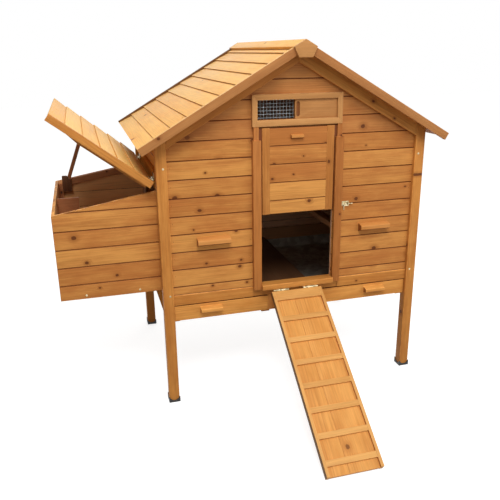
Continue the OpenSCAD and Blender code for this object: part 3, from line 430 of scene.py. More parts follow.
class Finish(Enum):
    """The finishes on the coop, each with its slot in the record. Timbers give pale, deep and late wood."""

    # Painted light: the house's inside faces take a paler colour.
    WALL = "wall_wood", Timber(
        "wall_timber", (212, 148, 76), (180, 112, 54), (150, 88, 38), painted_lighting=(218, 170, 132), knots=0.55
    )
    # Painted shade: darker than the walls, as under the roof's overhang; its inside faces take painted
    # light.
    GABLE = "wall_wood", Timber(
        "gable_timber", (194, 131, 70), (168, 103, 52), (140, 80, 36), painted_lighting=(206, 160, 124), knots=0.5
    )
    # Painted light: the nest box's inside faces take a paler colour.
    NEST = "wall_wood", Timber(
        "nest_timber", (212, 148, 76), (180, 112, 54), (150, 88, 38), painted_lighting=(250, 188, 124), knots=0.5
    )
    # Painted shade: the frame's faces inside the house take a duller, darker colour.
    FRAME = "frame_wood", Timber(
        "frame_timber", (208, 142, 69), (182, 114, 50), (154, 90, 38), painted_lighting=(180, 130, 88), knots=0.6
    )
    # Painted shade: the stiles' rebates take a dark colour.
    STILE = "frame_wood", Timber(
        "stile_timber", (201, 137, 70), (175, 111, 51), (147, 88, 38), painted_lighting=(112, 60, 28), knots=0.3
    )
    RAIL = "frame_wood", Timber("rail_timber", (184, 117, 58), (160, 96, 43), (138, 78, 32), knots=0.25)
    # Painted shade: the fronts' tops under the rail take a dark colour, and the grips' undersides and left
    # ends the joints' colour.
    TRAY = "frame_wood", Timber(
        "tray_timber", (226, 160, 82), (202, 132, 61), (170, 104, 45),
        joint=(128, 72, 28), painted_lighting=(120, 52, 18), knots=0.4,
    )
    TRIM = "frame_wood", Timber(
        "trim_timber", (201, 147, 89), (183, 129, 75), (163, 107, 58), figure=0.2, knots=0.15
    )
    # Painted shade: the finger groove takes a dark colour.
    SHUTTER = "frame_wood", Timber(
        "shutter_timber", (182, 127, 73), (166, 111, 61), (148, 93, 48),
        painted_lighting=(126, 74, 36), figure=0.2, knots=0.1,
    )
    # Painted highlight on the front bargeboards' tops; the joints' colour is painted shade on the rear
    # ones' inner faces.
    BARGE = "frame_wood", Timber(
        "barge_timber", (181, 124, 72), (163, 106, 58), (143, 88, 45),
        joint=(92, 58, 24), painted_lighting=(236, 184, 112), knots=0.12,
    )
    # Painted shade: a little darker than the frame, as under the nest box.
    SKIRT = "frame_wood", Timber("skirt_timber", (196, 130, 60), (170, 104, 44), (144, 82, 34), gloss=0.0)
    # Painted shade: the floor's top takes these dark colours; its other faces take the frame's lit tone.
    FLOOR = "frame_wood", Timber(
        "floor_timber", (100, 68, 44), (84, 54, 34), (66, 42, 26), painted_lighting=(200, 132, 66), knots=0.2
    )
    # The joints' colour is painted shade under the grips and at their left ends.
    GRIP = "frame_wood", Timber(
        "grip_timber", (208, 142, 76), (190, 124, 60), (166, 102, 44),
        joint=(126, 68, 24), figure=0.2, knots=0.0,
    )
    # Painted shade: the roof boards' undersides take a darker colour.
    ROOF = "roof_wood", Timber(
        "roof_timber", (248, 196, 114), (240, 178, 96), (218, 146, 70),
        knot=(150, 84, 34), joint=(172, 108, 46), painted_lighting=(176, 114, 58), figure=0.3, knots=0.1,
    )
    # Painted shade: the lid boards' undersides take a darker colour.
    LID = "roof_wood", Timber(
        "lid_timber", (241, 194, 112), (233, 178, 98), (214, 148, 74),
        knot=(160, 92, 40), joint=(206, 140, 64), painted_lighting=(184, 122, 62), figure=0.26, knots=0.16,
    )
    RAMP = "ramp_wood", Timber(
        "ramp_timber", (226, 161, 86), (204, 136, 64), (176, 108, 46), joint=(208, 142, 74), knots=0.26
    )
    # Painted shade: the right rail's inner side takes the default darker colour, the left rail's outer side
    # the joints' colour.
    CLEAT = "ramp_wood", Timber(
        "cleat_timber", (222, 165, 95), (206, 147, 79), (180, 118, 57), joint=(88, 60, 32), knots=0.1
    )
    INSIDE = "dark_wood", Timber(
        "inside_timber", (204, 138, 90), (178, 112, 70), (148, 86, 50), knot=(72, 38, 18)
    )
    SEAT = "dark_wood", Timber("seat_timber", (118, 76, 48), (102, 64, 39), (84, 50, 29), knot=(52, 30, 16))
    ZINC = "zinc", PlatedMetal("zinc_plate", (240, 226, 186), (150, 136, 100))
    BRAD = "zinc", PlatedMetal("stained_brad", (132, 94, 54), (92, 62, 34), roughness=0.5)
    SHEET = "zinc", PlatedMetal(
        "galvanised_sheet", (172, 164, 150), (140, 130, 116), grain=46.0, roughness=0.5, metallic=0.5
    )
    WIRE = "zinc", PlatedMetal(
        "mesh_wire", (214, 222, 224), (150, 158, 162), grain=220.0, roughness=0.45, metallic=0.3
    )
    CAP = "black_plastic", MouldedPlastic("cap_plastic")

    def __init__(self, slot: str, look: Timber | PlatedMetal | MouldedPlastic) -> None:
        """Keeps the record's slot and the look."""
        self.slot = slot
        self.look = look

    def material(self) -> Material:
        """Returns the finish's material, made once."""
        return bpy.data.materials.get(self.look.name) or self.look.material()


class Edge(Enum):
    """How a timber's long edges are coloured: joints and painted shade above 0, wear and painted highlight
    below.

    RIM has dark joints, and is pale where the outermost edges lie open: partly raw sawn edges, partly a
    painted highlight.
    """

    PLAIN = 0.0
    WORN = -1.0
    JOINT = 1.0
    RIM = -2.0


def body_of_node(node: str) -> str:
    """Returns the body that a node of the frame rides on."""
    bodies = frame["record"]["behaviour"]["bodies"]
    return next(body for body, members in bodies.items() if node in members)


def link_mesh(name: str, bm: Mesh) -> Piece:
    """Turns worked geometry into an object in the scene.

    Args:
        name: The object's name.
        bm: The geometry, freed here.

    Returns:
        The new object.
    """
    mesh = bpy.data.meshes.new(name)
    bm.to_mesh(mesh)
    bm.free()
    made = bpy.data.objects.new(name, mesh)
    bpy.context.scene.collection.objects.link(made)
    return made


def add_piece(name: str, bm: Mesh, smooth_below: float, finish: Finish, body: str, *nodes: str) -> None:
    """Adds a piece with its material, slot and body.

    Args:
        name: The piece's name.
        bm: The geometry, freed here.
        smooth_below: Faces that meet at a smaller angle shade smoothly, in degrees.
        finish: Its finish.
        body: The body that it rides on.
        nodes: The nodes that it replaces, if any.
    """
    limit = math.radians(smooth_below)
    for face in bm.faces:
        face.smooth = True
    for seam in bm.edges:
        seam.smooth = len(seam.link_faces) == 2 and seam.calc_face_angle(0.0) < limit
    piece = link_mesh(name, bm)
    piece.data.materials.append(finish.material())
    if nodes:
        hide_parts(*nodes)
    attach(piece, body)
    log.info("%s: %d faces on %s", name, len(piece.data.polygons), body)


def middle_of(corners: Sequence[Corner]) -> Vector:
    """Returns the middle of some corners."""
    return sum((corner.co for corner in corners), Vector()) / len(corners)


def stand_on(place: Vector, out: Vector) -> Matrix:
    """Returns the frame of a thing that stands on a place with its top facing a direction."""
    return Matrix.Translation(place) @ out.to_track_quat("Z", "Y").to_matrix().to_4x4()


def add_loop(bm: Mesh, home: Matrix, radius: float, heights: Sequence[float]) -> list[Corner]:
    """Adds a round loop of corners.

    Args:
        bm: The geometry that it joins.
        home: The frame whose upright axis it goes round.
        radius: Its radius, in metres.
        heights: The height of each corner, in metres.

    Returns:
        The corners.
    """
    turns = [math.tau * i / len(heights) for i in range(len(heights))]
    arms = [Vector((math.cos(t) * radius, math.sin(t) * radius, z)) for t, z in zip(turns, heights)]
    return [bm.verts.new(home @ arm) for arm in arms]


def bridge(bm: Mesh, low: Sequence[Corner], high: Sequence[Corner]) -> None:
    """Joins two loops of as many corners, the lower one first, with a band of faces."""
    for i in range(-len(low), 0):
        bm.faces.new((low[i], low[i + 1], high[i + 1], high[i]))


def facing(room: Vector, rise: float = 2.0, clear: float = 0.02) -> Test:
    """Makes a test for faces that look into the room about a place and rise less than a share."""
    return lambda centre, normal: normal.dot(room - centre) > clear and abs(normal.z) < rise


def turned(way: Vector, least: float, side: Vector = UP, past: float = -9.0) -> Test:
    """Makes a test for faces turned towards a direction, with a middle past a limit on one side."""
    return lambda centre, normal: normal.dot(way) > least and centre.dot(side) > past


def within(low: Vector, high: Vector) -> Test:
    """Makes a test for the faces with a middle inside a box."""
    return lambda centre, normal: all(a < c < b for a, c, b in zip(low, centre, high))


def grip_painted_shade(centre: Vector, normal: Vector) -> bool:
    """Tells whether a face of a grip is its underside or its left end, which take painted shade."""
    return normal.z < -0.6 or normal.x < -0.6


@dataclass
class Joiner:
    """Works the frame's solids into dressed timber and metal.

    Angles are in degrees. Faces square to the board, its ends, its slanting cuts, its sides and its
    rims are told by how nearly they face along one of the board's directions, 1 being exactly. An
    edge next to one shorter than so many radii, the crowd, isn't rounded.
    """

    seed: int = 7
    weld: float = 2e-6
    flat_angle: float = 0.6
    sharp_angle: float = 25.0
    smooth_wood: float = 40.0
    smooth_metal: float = 35.0
    square: float = 0.97
    end: float = 0.9
    slant: Pair = (0.9, 0.999)
    side: float = 0.3
    rim: float = 0.5
    crowd: float = 1.2
    round_steps: int = 2
    round_profile: float = 0.6
    heart_aside: float = 0.045
    heart_below: Pair = (0.012, 0.085)
    heart_lean: float = 0.02
    tone: Pair = (0.5, 0.22)

    def solid(self, node: str) -> Mesh:
        """Copies a node's solid with its flat faces whole again.

        Args:
            node: The node's name.

        Returns:
            The copied geometry.
        """
        bm = bmesh.new()
        bm.from_mesh(frame["nodes"][node].data)
        bmesh.ops.remove_doubles(bm, verts=bm.verts, dist=self.weld)
        limit = math.radians(self.flat_angle)
        bmesh.ops.dissolve_limit(bm, angle_limit=limit, verts=bm.verts, edges=bm.edges)
        bm.normal_update()
        return bm

    def islands(self, bm: Mesh) -> list[list[Corner]]:
        """Lists the separate boards in a solid, in an order that doesn't change.

        Args:
            bm: The geometry.

        Returns:
            One list of corners for each board.
        """
        seen: set[Corner] = set()
        found = []
        for start in bm.verts:
            if start in seen:
                continue
            stack, group = [start], []
            seen.add(start)
            while stack:
                corner = stack.pop()
                group.append(corner)
                for edge in corner.link_edges:
                    other = edge.other_vert(corner)
                    if other not in seen:
                        seen.add(other)
                        stack.append(other)
            found.append(group)
        return sorted(found, key=lambda group: [round(c, 4) for c in middle_of(group)])

    def axes(self, group: list[Corner]) -> tuple[Vector, Vector, Vector]:
        """Finds how a board lies from its longest edge and its largest face.

        Args:
            group: The board's corners.

        Returns:
            The directions along, across and through the board.
        """
        edges = [e for corner in group for e in corner.link_edges]
        longest = max(edges, key=lambda e: round(e.calc_length(), 6))
        along = (longest.verts[1].co - longest.verts[0].co).normalized()
        if along[max(range(3), key=lambda i: abs(along[i]))] < 0:
            along = -along
        faces = [f for corner in group for f in corner.link_faces]
        faces = [f for f in faces if abs(f.normal.dot(along)) < self.side]
        through = max(faces, key=lambda f: (round(f.calc_area(), 7), f.normal.y < 0)).normal.copy()
        through = (through - along * through.dot(along)).normalized()
        return along, through.cross(along).normalized(), through

    def board(
        self, node: str, finish: Finish, ease: float, edge: Edge = Edge.WORN,
        painted_lighting_faces: Test | None = None, dark: Test | None = None,
    ) -> None:
        """Dresses a node's timbers: eased edges, grain along each board, and its own tone.

        Args:
            node: The node to dress.
            finish: The finish.
            ease: Radius of the eased edges, in millimetres.
            edge: How the long edges are coloured.
            painted_lighting_faces: Tells whether a face takes painted light or shade.
            dark: Tells whether a face takes the joints' colour as painted shade.
        """
        bm = self.solid(node)
        tag = bm.verts.layers.int.new("timber")
        lies = []
        for number, group in enumerate(self.islands(bm)):
            lies.append((*self.axes(group), middle_of(group)))
            for corner in group:
                corner[tag] = number
        self.ease_edges(bm, ease * MM)
        bm.normal_update()
        self.mark_grain(bm, lies, random.Random(f"{self.seed}-{node}"))
        self.mark_faces(bm, lies, edge, painted_lighting_faces, dark)
        add_piece(f"dressed_{node}", bm, self.smooth_wood, finish, body_of_node(node), node)

    def metal(self, node: str, finish: Finish, ease: float) -> None:
        """Dresses a node made of metal or plastic: eased edges and smooth rounds.

        Args:
            node: The node to dress.
            finish: The finish.
            ease: Radius of the eased edges, in millimetres.
        """
        bm = self.solid(node)
        self.ease_edges(bm, ease * MM)
        add_piece(f"dressed_{node}", bm, self.smooth_metal, finish, body_of_node(node), node)

    def ease_edges(self, bm: Mesh, radius: float) -> None:
        """Rounds the sharp edges, apart from those that end at a step too small to round.

        Args:
            bm: The geometry.
            radius: The radius, in metres.
        """
        limit = math.radians(self.sharp_angle)
        sharp = [e for e in bm.edges if len(e.link_faces) == 2 and e.calc_face_angle(0.0) > limit]
        crowded = {corner for e in sharp if e.calc_length() < self.crowd * radius for corner in e.verts}
        clear = [e for e in sharp if not crowded.intersection(e.verts)]
        bmesh.ops.bevel(
            bm, geom=clear, offset=radius, segments=self.round_steps, profile=self.round_profile,
            affect="EDGES", clamp_overlap=True,
        )

    def mark_grain(self, bm: Mesh, lies: list[Lie], draw: random.Random) -> None:
        """Writes where each corner lies in its board's own grain.

        Args:
            bm: The geometry, with each board's number on its corners.
            lies: How each board lies.
            draw: The node's own random numbers.
        """
        tag = bm.verts.layers.int.get("timber")
        grain = bm.verts.layers.float_vector.new("grain")
        pith = bm.verts.layers.float_vector.new("pith")
        tone = bm.verts.layers.float.new("board")
        hearts, tones = [], []
        for _ in lies:
            side = draw.choice((-1, 1))
            aside = side * draw.uniform(0.0, self.heart_aside)
            below = draw.uniform(*self.heart_below)
            lean = draw.uniform(-self.heart_lean, self.heart_lean)
            hearts.append(Vector((aside, below, lean)))
            tones.append(min(1.0, max(0.0, draw.gauss(*self.tone))))
        for corner in bm.verts:
            number = corner[tag]
            along, across, through, middle = lies[number]
            arm = corner.co - middle
            corner[grain] = Vector((arm.dot(along), arm.dot(across), arm.dot(through)))
            corner[pith] = hearts[number]
            corner[tone] = tones[number]

    def mark_faces(
        self, bm: Mesh, lies: list[Lie], edge: Edge, painted_lighting_faces: Test | None, dark: Test | None
    ) -> None:
        """Writes which faces are joints or painted shade, which are eased edges or rims with wear and
        painted highlight, and which take painted light or shade.

        Args:
            bm: The geometry, with each board's number on its corners.
            lies: How each board lies.
            edge: How the long edges are coloured.
            painted_lighting_faces: Tells whether a face takes painted light or shade.
            dark: Tells whether a face takes the joints' colour as painted shade.
        """
        tag = bm.verts.layers.int.get("timber")
        sides = bm.faces.layers.float.new("edge")
        painted_lighting = bm.faces.layers.float.new("painted_lighting_faces")
        ahead = lies[0][1]
        places = [middle.dot(ahead) for _, _, _, middle in lies]
        top, bottom = max(places) - MM, min(places) + MM
        for face in bm.faces:
            along, across, through, middle = lies[face.verts[0][tag]]
            centre, normal = face.calc_center_median(), face.normal
            # Marks the faces that take painted light or shade.
            face[painted_lighting] = 1.0 if painted_lighting_faces and painted_lighting_faces(centre, normal) else 0.0
            leans = [abs(normal.dot(way)) for way in (along, across, through)]
            # Painted shade: faces that the dark test picks take the joints' colour.
            if dark and dark(centre, normal):
                kind = Edge.JOINT
            elif edge is Edge.WORN:
                kind = Edge.PLAIN if max(leans) > self.square else Edge.WORN
            elif edge is Edge.PLAIN or leans[2] > self.square or leans[0] > self.end:
                kind = Edge.PLAIN
            else:
                rise, level = normal.dot(ahead), middle.dot(ahead)
                cut = self.slant[0] < abs(rise) < self.slant[1]
                outer = (rise > self.rim and level > top) or (rise < -self.rim and level < bottom)
                kind = Edge.RIM if edge is Edge.RIM and (cut or outer) else Edge.JOINT
            face[sides] = kind.value


@dataclass(frozen=True)
class Bench:
    """Turns millimetres from the house's front left corner into the frame's metres."""

    origin: Vector
    room: Place = (535.0, 400.0, 720.0)

    @classmethod
    def from_frame(cls) -> "Bench":
        """Returns the bench whose corner is the front left leg's outer front edge on the ground."""
        low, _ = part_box("leg_front_left")
        return cls(Vector((low.x, low.y, 0.0)))

    def at(self, x: float, y: float, z: float) -> Vector:
        """Returns the place of a point given in millimetres."""
        return self.origin + Vector((x, y, z)) * MM


@dataclass
class Fixings:
    """Makes brad heads and domed screw heads with a cross.

    Lengths are in millimetres, and the dome's and the cross's parts are shares of the head's radius.
    """

    screw_radius: float = 4.0
    screw_sides: int = 24
    dome: tuple[Pair, ...] = (
        (1.0, 0.0), (1.0, 0.16), (0.86, 0.3), (0.6, 0.37), (0.34, 0.385),
    )
    dome_height: float = 0.78
    cross_radius: float = 0.2
    cross_floor: float = -0.2
    cross_land: float = 0.12
    brad_radius: float = 1.3
    brad_top: float = 0.8
    brad_proud: float = 0.2
    brad_sides: int = 10
    smooth: float = 30.0

    def screw_into(self, bm: Mesh, home: Matrix) -> None:
        """Adds one domed screw head with a cross recess.

        Args:
            bm: The geometry that it joins.
            home: The frame that the head stands in.
        """
        radius, sides = self.screw_radius * MM, self.screw_sides
        rise = self.dome_height * radius
        loops = [add_loop(bm, home, radius * share, [lift * rise] * sides) for share, lift in self.dome]
        depths = [self.cross_land * radius] * sides
        depths[:: sides // 4] = [self.cross_floor * radius] * 4
        loops.append(add_loop(bm, home, radius * self.cross_radius, depths))
        for low, high in zip(loops, loops[1:]):
            bridge(bm, low, high)
        middle = bm.verts.new(home @ Vector((0, 0, self.cross_floor * radius)))
        for i in range(-sides, 0):
            bm.faces.new((loops[-1][i], loops[-1][i + 1], middle))
        bm.faces.new(loops[0][::-1])

    def screws(self, spots: Sequence[Spot]) -> None:
        """Makes the screws as one piece, each with a turn of its own.

        Args:
            spots: Where the heads lie and face.
        """
        draw = random.Random("wood_screws")
        bm = bmesh.new()
        for spot in spots:
            self.screw_into(bm, stand_on(*spot) @ Matrix.Rotation(draw.uniform(0, math.tau), 4, "Z"))
        add_piece("wood_screws", bm, self.smooth, Finish.ZINC, "house", "screws")

    def brads(self, spots: Sequence[Spot]) -> None:
        """Makes the small heads of brads, a hair proud of the timber, as one piece.

        Args:
            spots: Where the heads lie and face.
        """
        sides, radius, proud = self.brad_sides, self.brad_radius * MM, self.brad_proud * MM
        bm = bmesh.new()
        for spot in spots:
            home = stand_on(*spot)
            low = add_loop(bm, home, radius, [-proud] * sides)
            high = add_loop(bm, home, radius * self.brad_top, [proud] * sides)
            bridge(bm, low, high)
            bm.faces.new(high)
            bm.faces.new(low[::-1])
        add_piece("wall_brads", bm, self.smooth, Finish.BRAD, "house")


@dataclass
class Assembly:
    """A sub-assembly that the joiner dresses. Its eases are radii in millimetres, as its lengths are."""

    joiner: Joiner


@dataclass
class Carcass(Assembly):
    """The house's legs, rails, battens and foot caps."""

    room: Test
    legs: tuple[str, ...] = ("leg_front_left", "leg_front_right", "leg_rear_left", "leg_rear_right")
    skirts: tuple[str, ...] = ("side_skirts", "hinge_ledger")
    inner: tuple[str, ...] = ("inner_battens", "tray_bearers", "perches", "roof_frame")
    leg_ease: float = 1.6
    rail_ease: float = 1.0
    cap_ease: float = 1.2

    def build(self) -> None:
        """Dresses the legs, the rails and the caps."""
        for leg in self.legs:
            self.joiner.board(leg, Finish.FRAME, self.leg_ease)
        # Painted shade: the bottom rails' faces that look into the room take a darker colour.
        self.joiner.board("bottom_rails", Finish.FRAME, self.rail_ease, Edge.WORN, self.room)
        # Painted shade: the skirts' finish is darker, as under the nest box.
        for skirt in self.skirts:
            self.joiner.board(skirt, Finish.SKIRT, self.rail_ease)
        # Painted shade: the floor's top is dark; its other faces take the frame's lit tone.
        self.joiner.board("centre_floor", Finish.FLOOR, self.rail_ease, Edge.PLAIN, turned(DOWN, -0.5))
        # Painted shade: the inner timbers' faces, all but those facing the front, take a darker colour.
        for timber in self.inner:
            self.joiner.board(timber, Finish.FRAME, self.rail_ease, Edge.PLAIN, turned(REAR, -0.9))
        self.joiner.metal("foot_caps", Finish.CAP, self.cap_ease)


@dataclass
class Walls(Assembly):
    """The boarded walls of the house and their brads."""

    fixings: Fixings
    bench: Bench
    room: Test
    boards: tuple[str, ...] = (
        "front_wall_left", "front_wall_right", "front_wall_upper", "front_gable",
        "rear_wall", "left_wall", "right_wall",
    )
    board_ease: float = 0.7
    gable_ease: float = 0.15
    left_ease: float = 0.3
    trim_ease: float = 1.0
    grip_ease: float = 2.2
    first_joint: float = 490.0
    course: float = 69.0
    courses: int = 8
    door_courses: int = 4
    face: float = 14.0
    corner_columns: Pair = (51.0, 1019.0)
    door_columns: Pair = (349.0, 727.0)
    side_columns: Pair = (52.0, 748.0)
    corner_lift: float = 9.0
    door_drop: float = 8.0
    side_lift: float = 4.0

    def build(self) -> None:
        """Dresses the boards, trims and grips, and drives the brads."""
        eases = {"front_gable": self.gable_ease, "left_wall": self.left_ease}
        for wall in self.boards:
            # Painted shade: the gable's finish is darker, as under the roof's overhang.
            finish = Finish.GABLE if wall == "front_gable" else Finish.WALL
            # Painted light: the walls' faces that look into the room take a paler colour.
            self.joiner.board(wall, finish, eases.get(wall, self.board_ease), Edge.JOINT, self.room)
        self.joiner.board("gable_trims", Finish.FRAME, self.trim_ease)
        # Painted shade on the grips' undersides and left ends.
        self.joiner.board("panel_handles", Finish.GRIP, self.grip_ease, Edge.PLAIN, None, grip_painted_shade)
        self.fixings.brads(self.brad_spots())

    def brad_spots(self) -> list[Spot]:
        """Finds a brad's place at each board's ends, on the front, the rear and the right side.

        Returns:
            Where the brads lie and face.
        """
        bench = self.bench
        _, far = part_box("rear_wall")
        _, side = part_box("right_wall")
        spots = []
        for step in range(self.courses):
            z = self.first_joint + self.course * (step + 0.5)
            for x in self.corner_columns:
                spots.append((bench.at(x, self.face, z + self.corner_lift), FRONT))
                behind = bench.at(x, 0, z + self.corner_lift)
                spots.append((Vector((behind.x, far.y, behind.z)), REAR))
            if step < self.door_courses:
                spots += [(bench.at(x, self.face, z - self.door_drop), FRONT) for x in self.door_columns]
            for y in self.side_columns:
                beside = bench.at(0, y, z + self.side_lift)
                spots.append((Vector((side.x, beside.y, beside.z)), RIGHT))
        return spots


@dataclass
class Roof(Assembly):
    """Roof boards, bargeboards, ridge cap and end plates."""

    board_ease: float = 0.7
    trim_ease: float = 1.2

    def build(self) -> None:
        """Dresses the roof's timbers, with painted shade on their undersides."""
        for boards in ("roof_boards_left", "roof_boards_right"):
            # Painted shade on the roof boards' undersides.
            self.joiner.board(boards, Finish.ROOF, self.board_ease, Edge.RIM, turned(DOWN, 0.7))
        self.joiner.board("ridge_cap", Finish.ROOF, self.trim_ease)
        # Painted highlight on the front bargeboards' tops, painted shade on the rear ones' inner faces.
        painted_highlight_tops = turned(UP, 0.7, FRONT, 0.0)
        self.joiner.board(
            "bargeboards", Finish.BARGE, self.trim_ease, Edge.WORN, painted_highlight_tops, self.rear_insides
        )
        self.joiner.board("ridge_plates", Finish.TRIM, self.trim_ease)

    def rear_insides(self, centre: Vector, normal: Vector) -> bool:
        """Tells whether a face of a rear bargeboard looks over the roof, where it takes painted shade."""
        return centre.y > 0.0 and (normal.y < -0.5 or normal.z > 0.5)


@dataclass
class PopDoor(Assembly):
    """The sliding door, its rails, sill, pull and bolt, with painted shade in the stiles' rebates."""

    room: Test
    rail_ease: float = 1.2
    board_ease: float = 0.6
    stile_ease: float = 1.0
    grip_ease: float = 1.6
    base_ease: float = 0.4
    rod_ease: float = 0.3
    rebate: float = 3.0

    def build(self) -> None:
        """Dresses the door and what it runs in."""
        self.joiner.board("pop_sill", Finish.FRAME, self.rail_ease)
        for rail in ("door_rail_left", "door_rail_right"):
            self.joiner.board(rail, Finish.RAIL, self.rail_ease)
        # Painted light: the door boards' faces that look into the room take a paler colour.
        self.joiner.board("pop_door_boards", Finish.WALL, self.board_ease, Edge.JOINT, self.room)
        low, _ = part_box("pop_door_stiles")
        # Painted shade in the stiles' rebates.
        rebates = turned(FRONT, 0.9, REAR, low.y + self.rebate * MM)
        self.joiner.board("pop_door_stiles", Finish.STILE, self.stile_ease, Edge.WORN, rebates)
        # Painted shade on the pull's underside and left end.
        self.joiner.board("pop_door_handle", Finish.GRIP, self.grip_ease, Edge.PLAIN, None, grip_painted_shade)
        self.joiner.metal("bolt_base", Finish.ZINC, self.base_ease)
        self.joiner.metal("bolt_rod", Finish.ZINC, self.rod_ease)


@dataclass
class Vent(Assembly):
    """The framed vent with its shutter and welded mesh."""

    frame_ease: float = 1.2
    shutter_ease: float = 0.6
    wire_radius: float = 0.62
    wire_sides: int = 8
    pitch: float = 12.7
    groove: Pair = (4.0, 19.0)
    groove_skin: float = 0.5
    smooth: float = 50.0

    def build(self) -> None:
        """Dresses the frame and shutter, and draws round wires in place of the mesh."""
        self.joiner.board("vent_frame", Finish.TRIM, self.frame_ease)
        low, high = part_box("vent_shutter")
        # Painted shade in the shutter's finger groove.
        start, end = (low.x + edge * MM for edge in self.groove)
        skin = Vector((0, self.groove_skin * MM, MM))
        groove = within(Vector((start, low.y, low.z)) + skin, Vector((end, high.y, high.z)) - skin)
        self.joiner.board("vent_shutter", Finish.SHUTTER, self.shutter_ease, Edge.PLAIN, groove)
        low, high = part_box("vent_mesh")
        radius, pitch = self.wire_radius * MM, self.pitch * MM
        bm = bmesh.new()
        x, y = low.x + radius, low.y + radius
        while x < high.x:
            self.wire(bm, Vector((x, y, low.z)), Vector((x, y, high.z)))
            x += pitch
        z, y = low.z + radius, high.y - radius
        while z < high.z:
            self.wire(bm, Vector((low.x, y, z)), Vector((high.x, y, z)))
            z += pitch
        add_piece("welded_mesh", bm, self.smooth, Finish.WIRE, "house", "vent_mesh")

    def wire(self, bm: Mesh, start: Vector, end: Vector) -> None:
        """Adds one straight round wire to the geometry."""
        run, radius = end - start, self.wire_radius * MM
        bmesh.ops.create_cone(
            bm, cap_ends=True, segments=self.wire_sides, radius1=radius, radius2=radius, depth=run.length,
            matrix=stand_on((start + end) / 2, run),
        )


@dataclass
class NestBox(Assembly):
    """The nest box on the left side, its inside and its lid."""

    board_ease: float = 0.7
    inside_ease: float = 0.8
    frame_ease: float = 1.2
    leaf_ease: float = 0.25
    room_height: float = 170.0

    def build(self) -> None:
        """Dresses the box, the lid and the prop."""
        low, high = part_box("nest_floor")
        inside = facing((low + high) / 2 + Vector((0, 0, self.room_height * MM)), 0.5)
        # Painted light: the nest box's inside faces take a paler colour.
        for wall in ("nest_front", "nest_back", "nest_end"):
            self.joiner.board(wall, Finish.NEST, self.board_ease, Edge.RIM, inside)
        for part in ("nest_floor", "nest_divider", "nest_posts", "lid_prop"):
            self.joiner.board(part, Finish.INSIDE, self.inside_ease)
        self.joiner.board("prop_seat", Finish.SEAT, self.inside_ease)
        # Painted shade on the lid boards' undersides.
        self.joiner.board("lid_boards", Finish.LID, self.board_ease, Edge.RIM, turned(DOWN, 0.6))
        self.joiner.board("lid_frame", Finish.FRAME, self.frame_ease)
        self.joiner.metal("lid_hinge_leaves", Finish.ZINC, self.leaf_ease)
        self.joiner.metal("fixed_hinge_leaves", Finish.ZINC, self.leaf_ease)


@dataclass
class Ramp(Assembly):
    """The folding ramp with its rails, cleats and hinge leaves."""

    board_ease: float = 0.7
    rail_ease: float = 1.0
    leaf_ease: float = 0.25

    def build(self) -> None:
        """Dresses the ramp, with painted shade on the right rail's inner side and darker painted shade on
        the left rail's outer side.
        """
        self.joiner.board("ramp_boards", Finish.RAMP, self.board_ease, Edge.RIM)
        low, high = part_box("ramp_rails")
        middle = (low.x + high.x) / 2
        # Painted shade on the right rail's inner side and, darker, on the left rail's outer side.
        inside, outside = turned(LEFT, 0.6, RIGHT, middle), turned(LEFT, 0.6, LEFT, -middle)
        self.joiner.board("ramp_rails", Finish.CLEAT, self.rail_ease, Edge.PLAIN, inside, outside)
        self.joiner.board("ramp_cleats", Finish.CLEAT, self.rail_ease)
        self.joiner.metal("ramp_hinge_leaves", Finish.ZINC, self.leaf_ease)


@dataclass
class Trays(Assembly):
    """The two pull-out trays."""

    pan_ease: float = 0.3
    front_ease: float = 1.2
    top_depth: float = 2.0
    grip_reach: float = 12.0

    def build(self) -> None:
        """Dresses the pans and their fronts."""
        _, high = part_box("tray_left_front")
        # Painted shade on the fronts' tops, under the rail.
        tops = turned(UP, 0.9, UP, high.z - self.top_depth * MM)
        for side in ("left", "right"):
            self.joiner.metal(f"tray_{side}_pan", Finish.SHEET, self.pan_ease)
            front = f"tray_{side}_front"
            # Painted shade on the grips' undersides and left ends.
            self.joiner.board(front, Finish.TRAY, self.front_ease, Edge.WORN, tops, self.tray_grip_painted_shade)

    def tray_grip_painted_shade(self, centre: Vector, normal: Vector) -> bool:
        """Tells whether a face lies on the underside or the left end of a tray's grip, which take painted
        shade.
        """
        low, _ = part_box("tray_left_front")
        return grip_painted_shade(centre, normal) and centre.y < low.y + self.grip_reach * MM


@dataclass
class Hardware(Assembly):
    """Screw heads in the legs and the nest box."""

    fixings: Fixings

    def build(self) -> None:
        """Sets a cross-headed screw in the place of each plain head."""
        bm = self.joiner.solid("screws")
        spots = []
        for head in self.joiner.islands(bm):
            middle = middle_of(head)
            spots.append((Vector((middle.x, max(corner.co.y for corner in head), middle.z)), FRONT))
        bm.free()
        self.fixings.screws(spots)


@dataclass(frozen=True)
class Lamp:
    """A soft square lamp: its place and side in metres, and its power in watts."""

    name: str
    place: Place
    side: float
    power: float


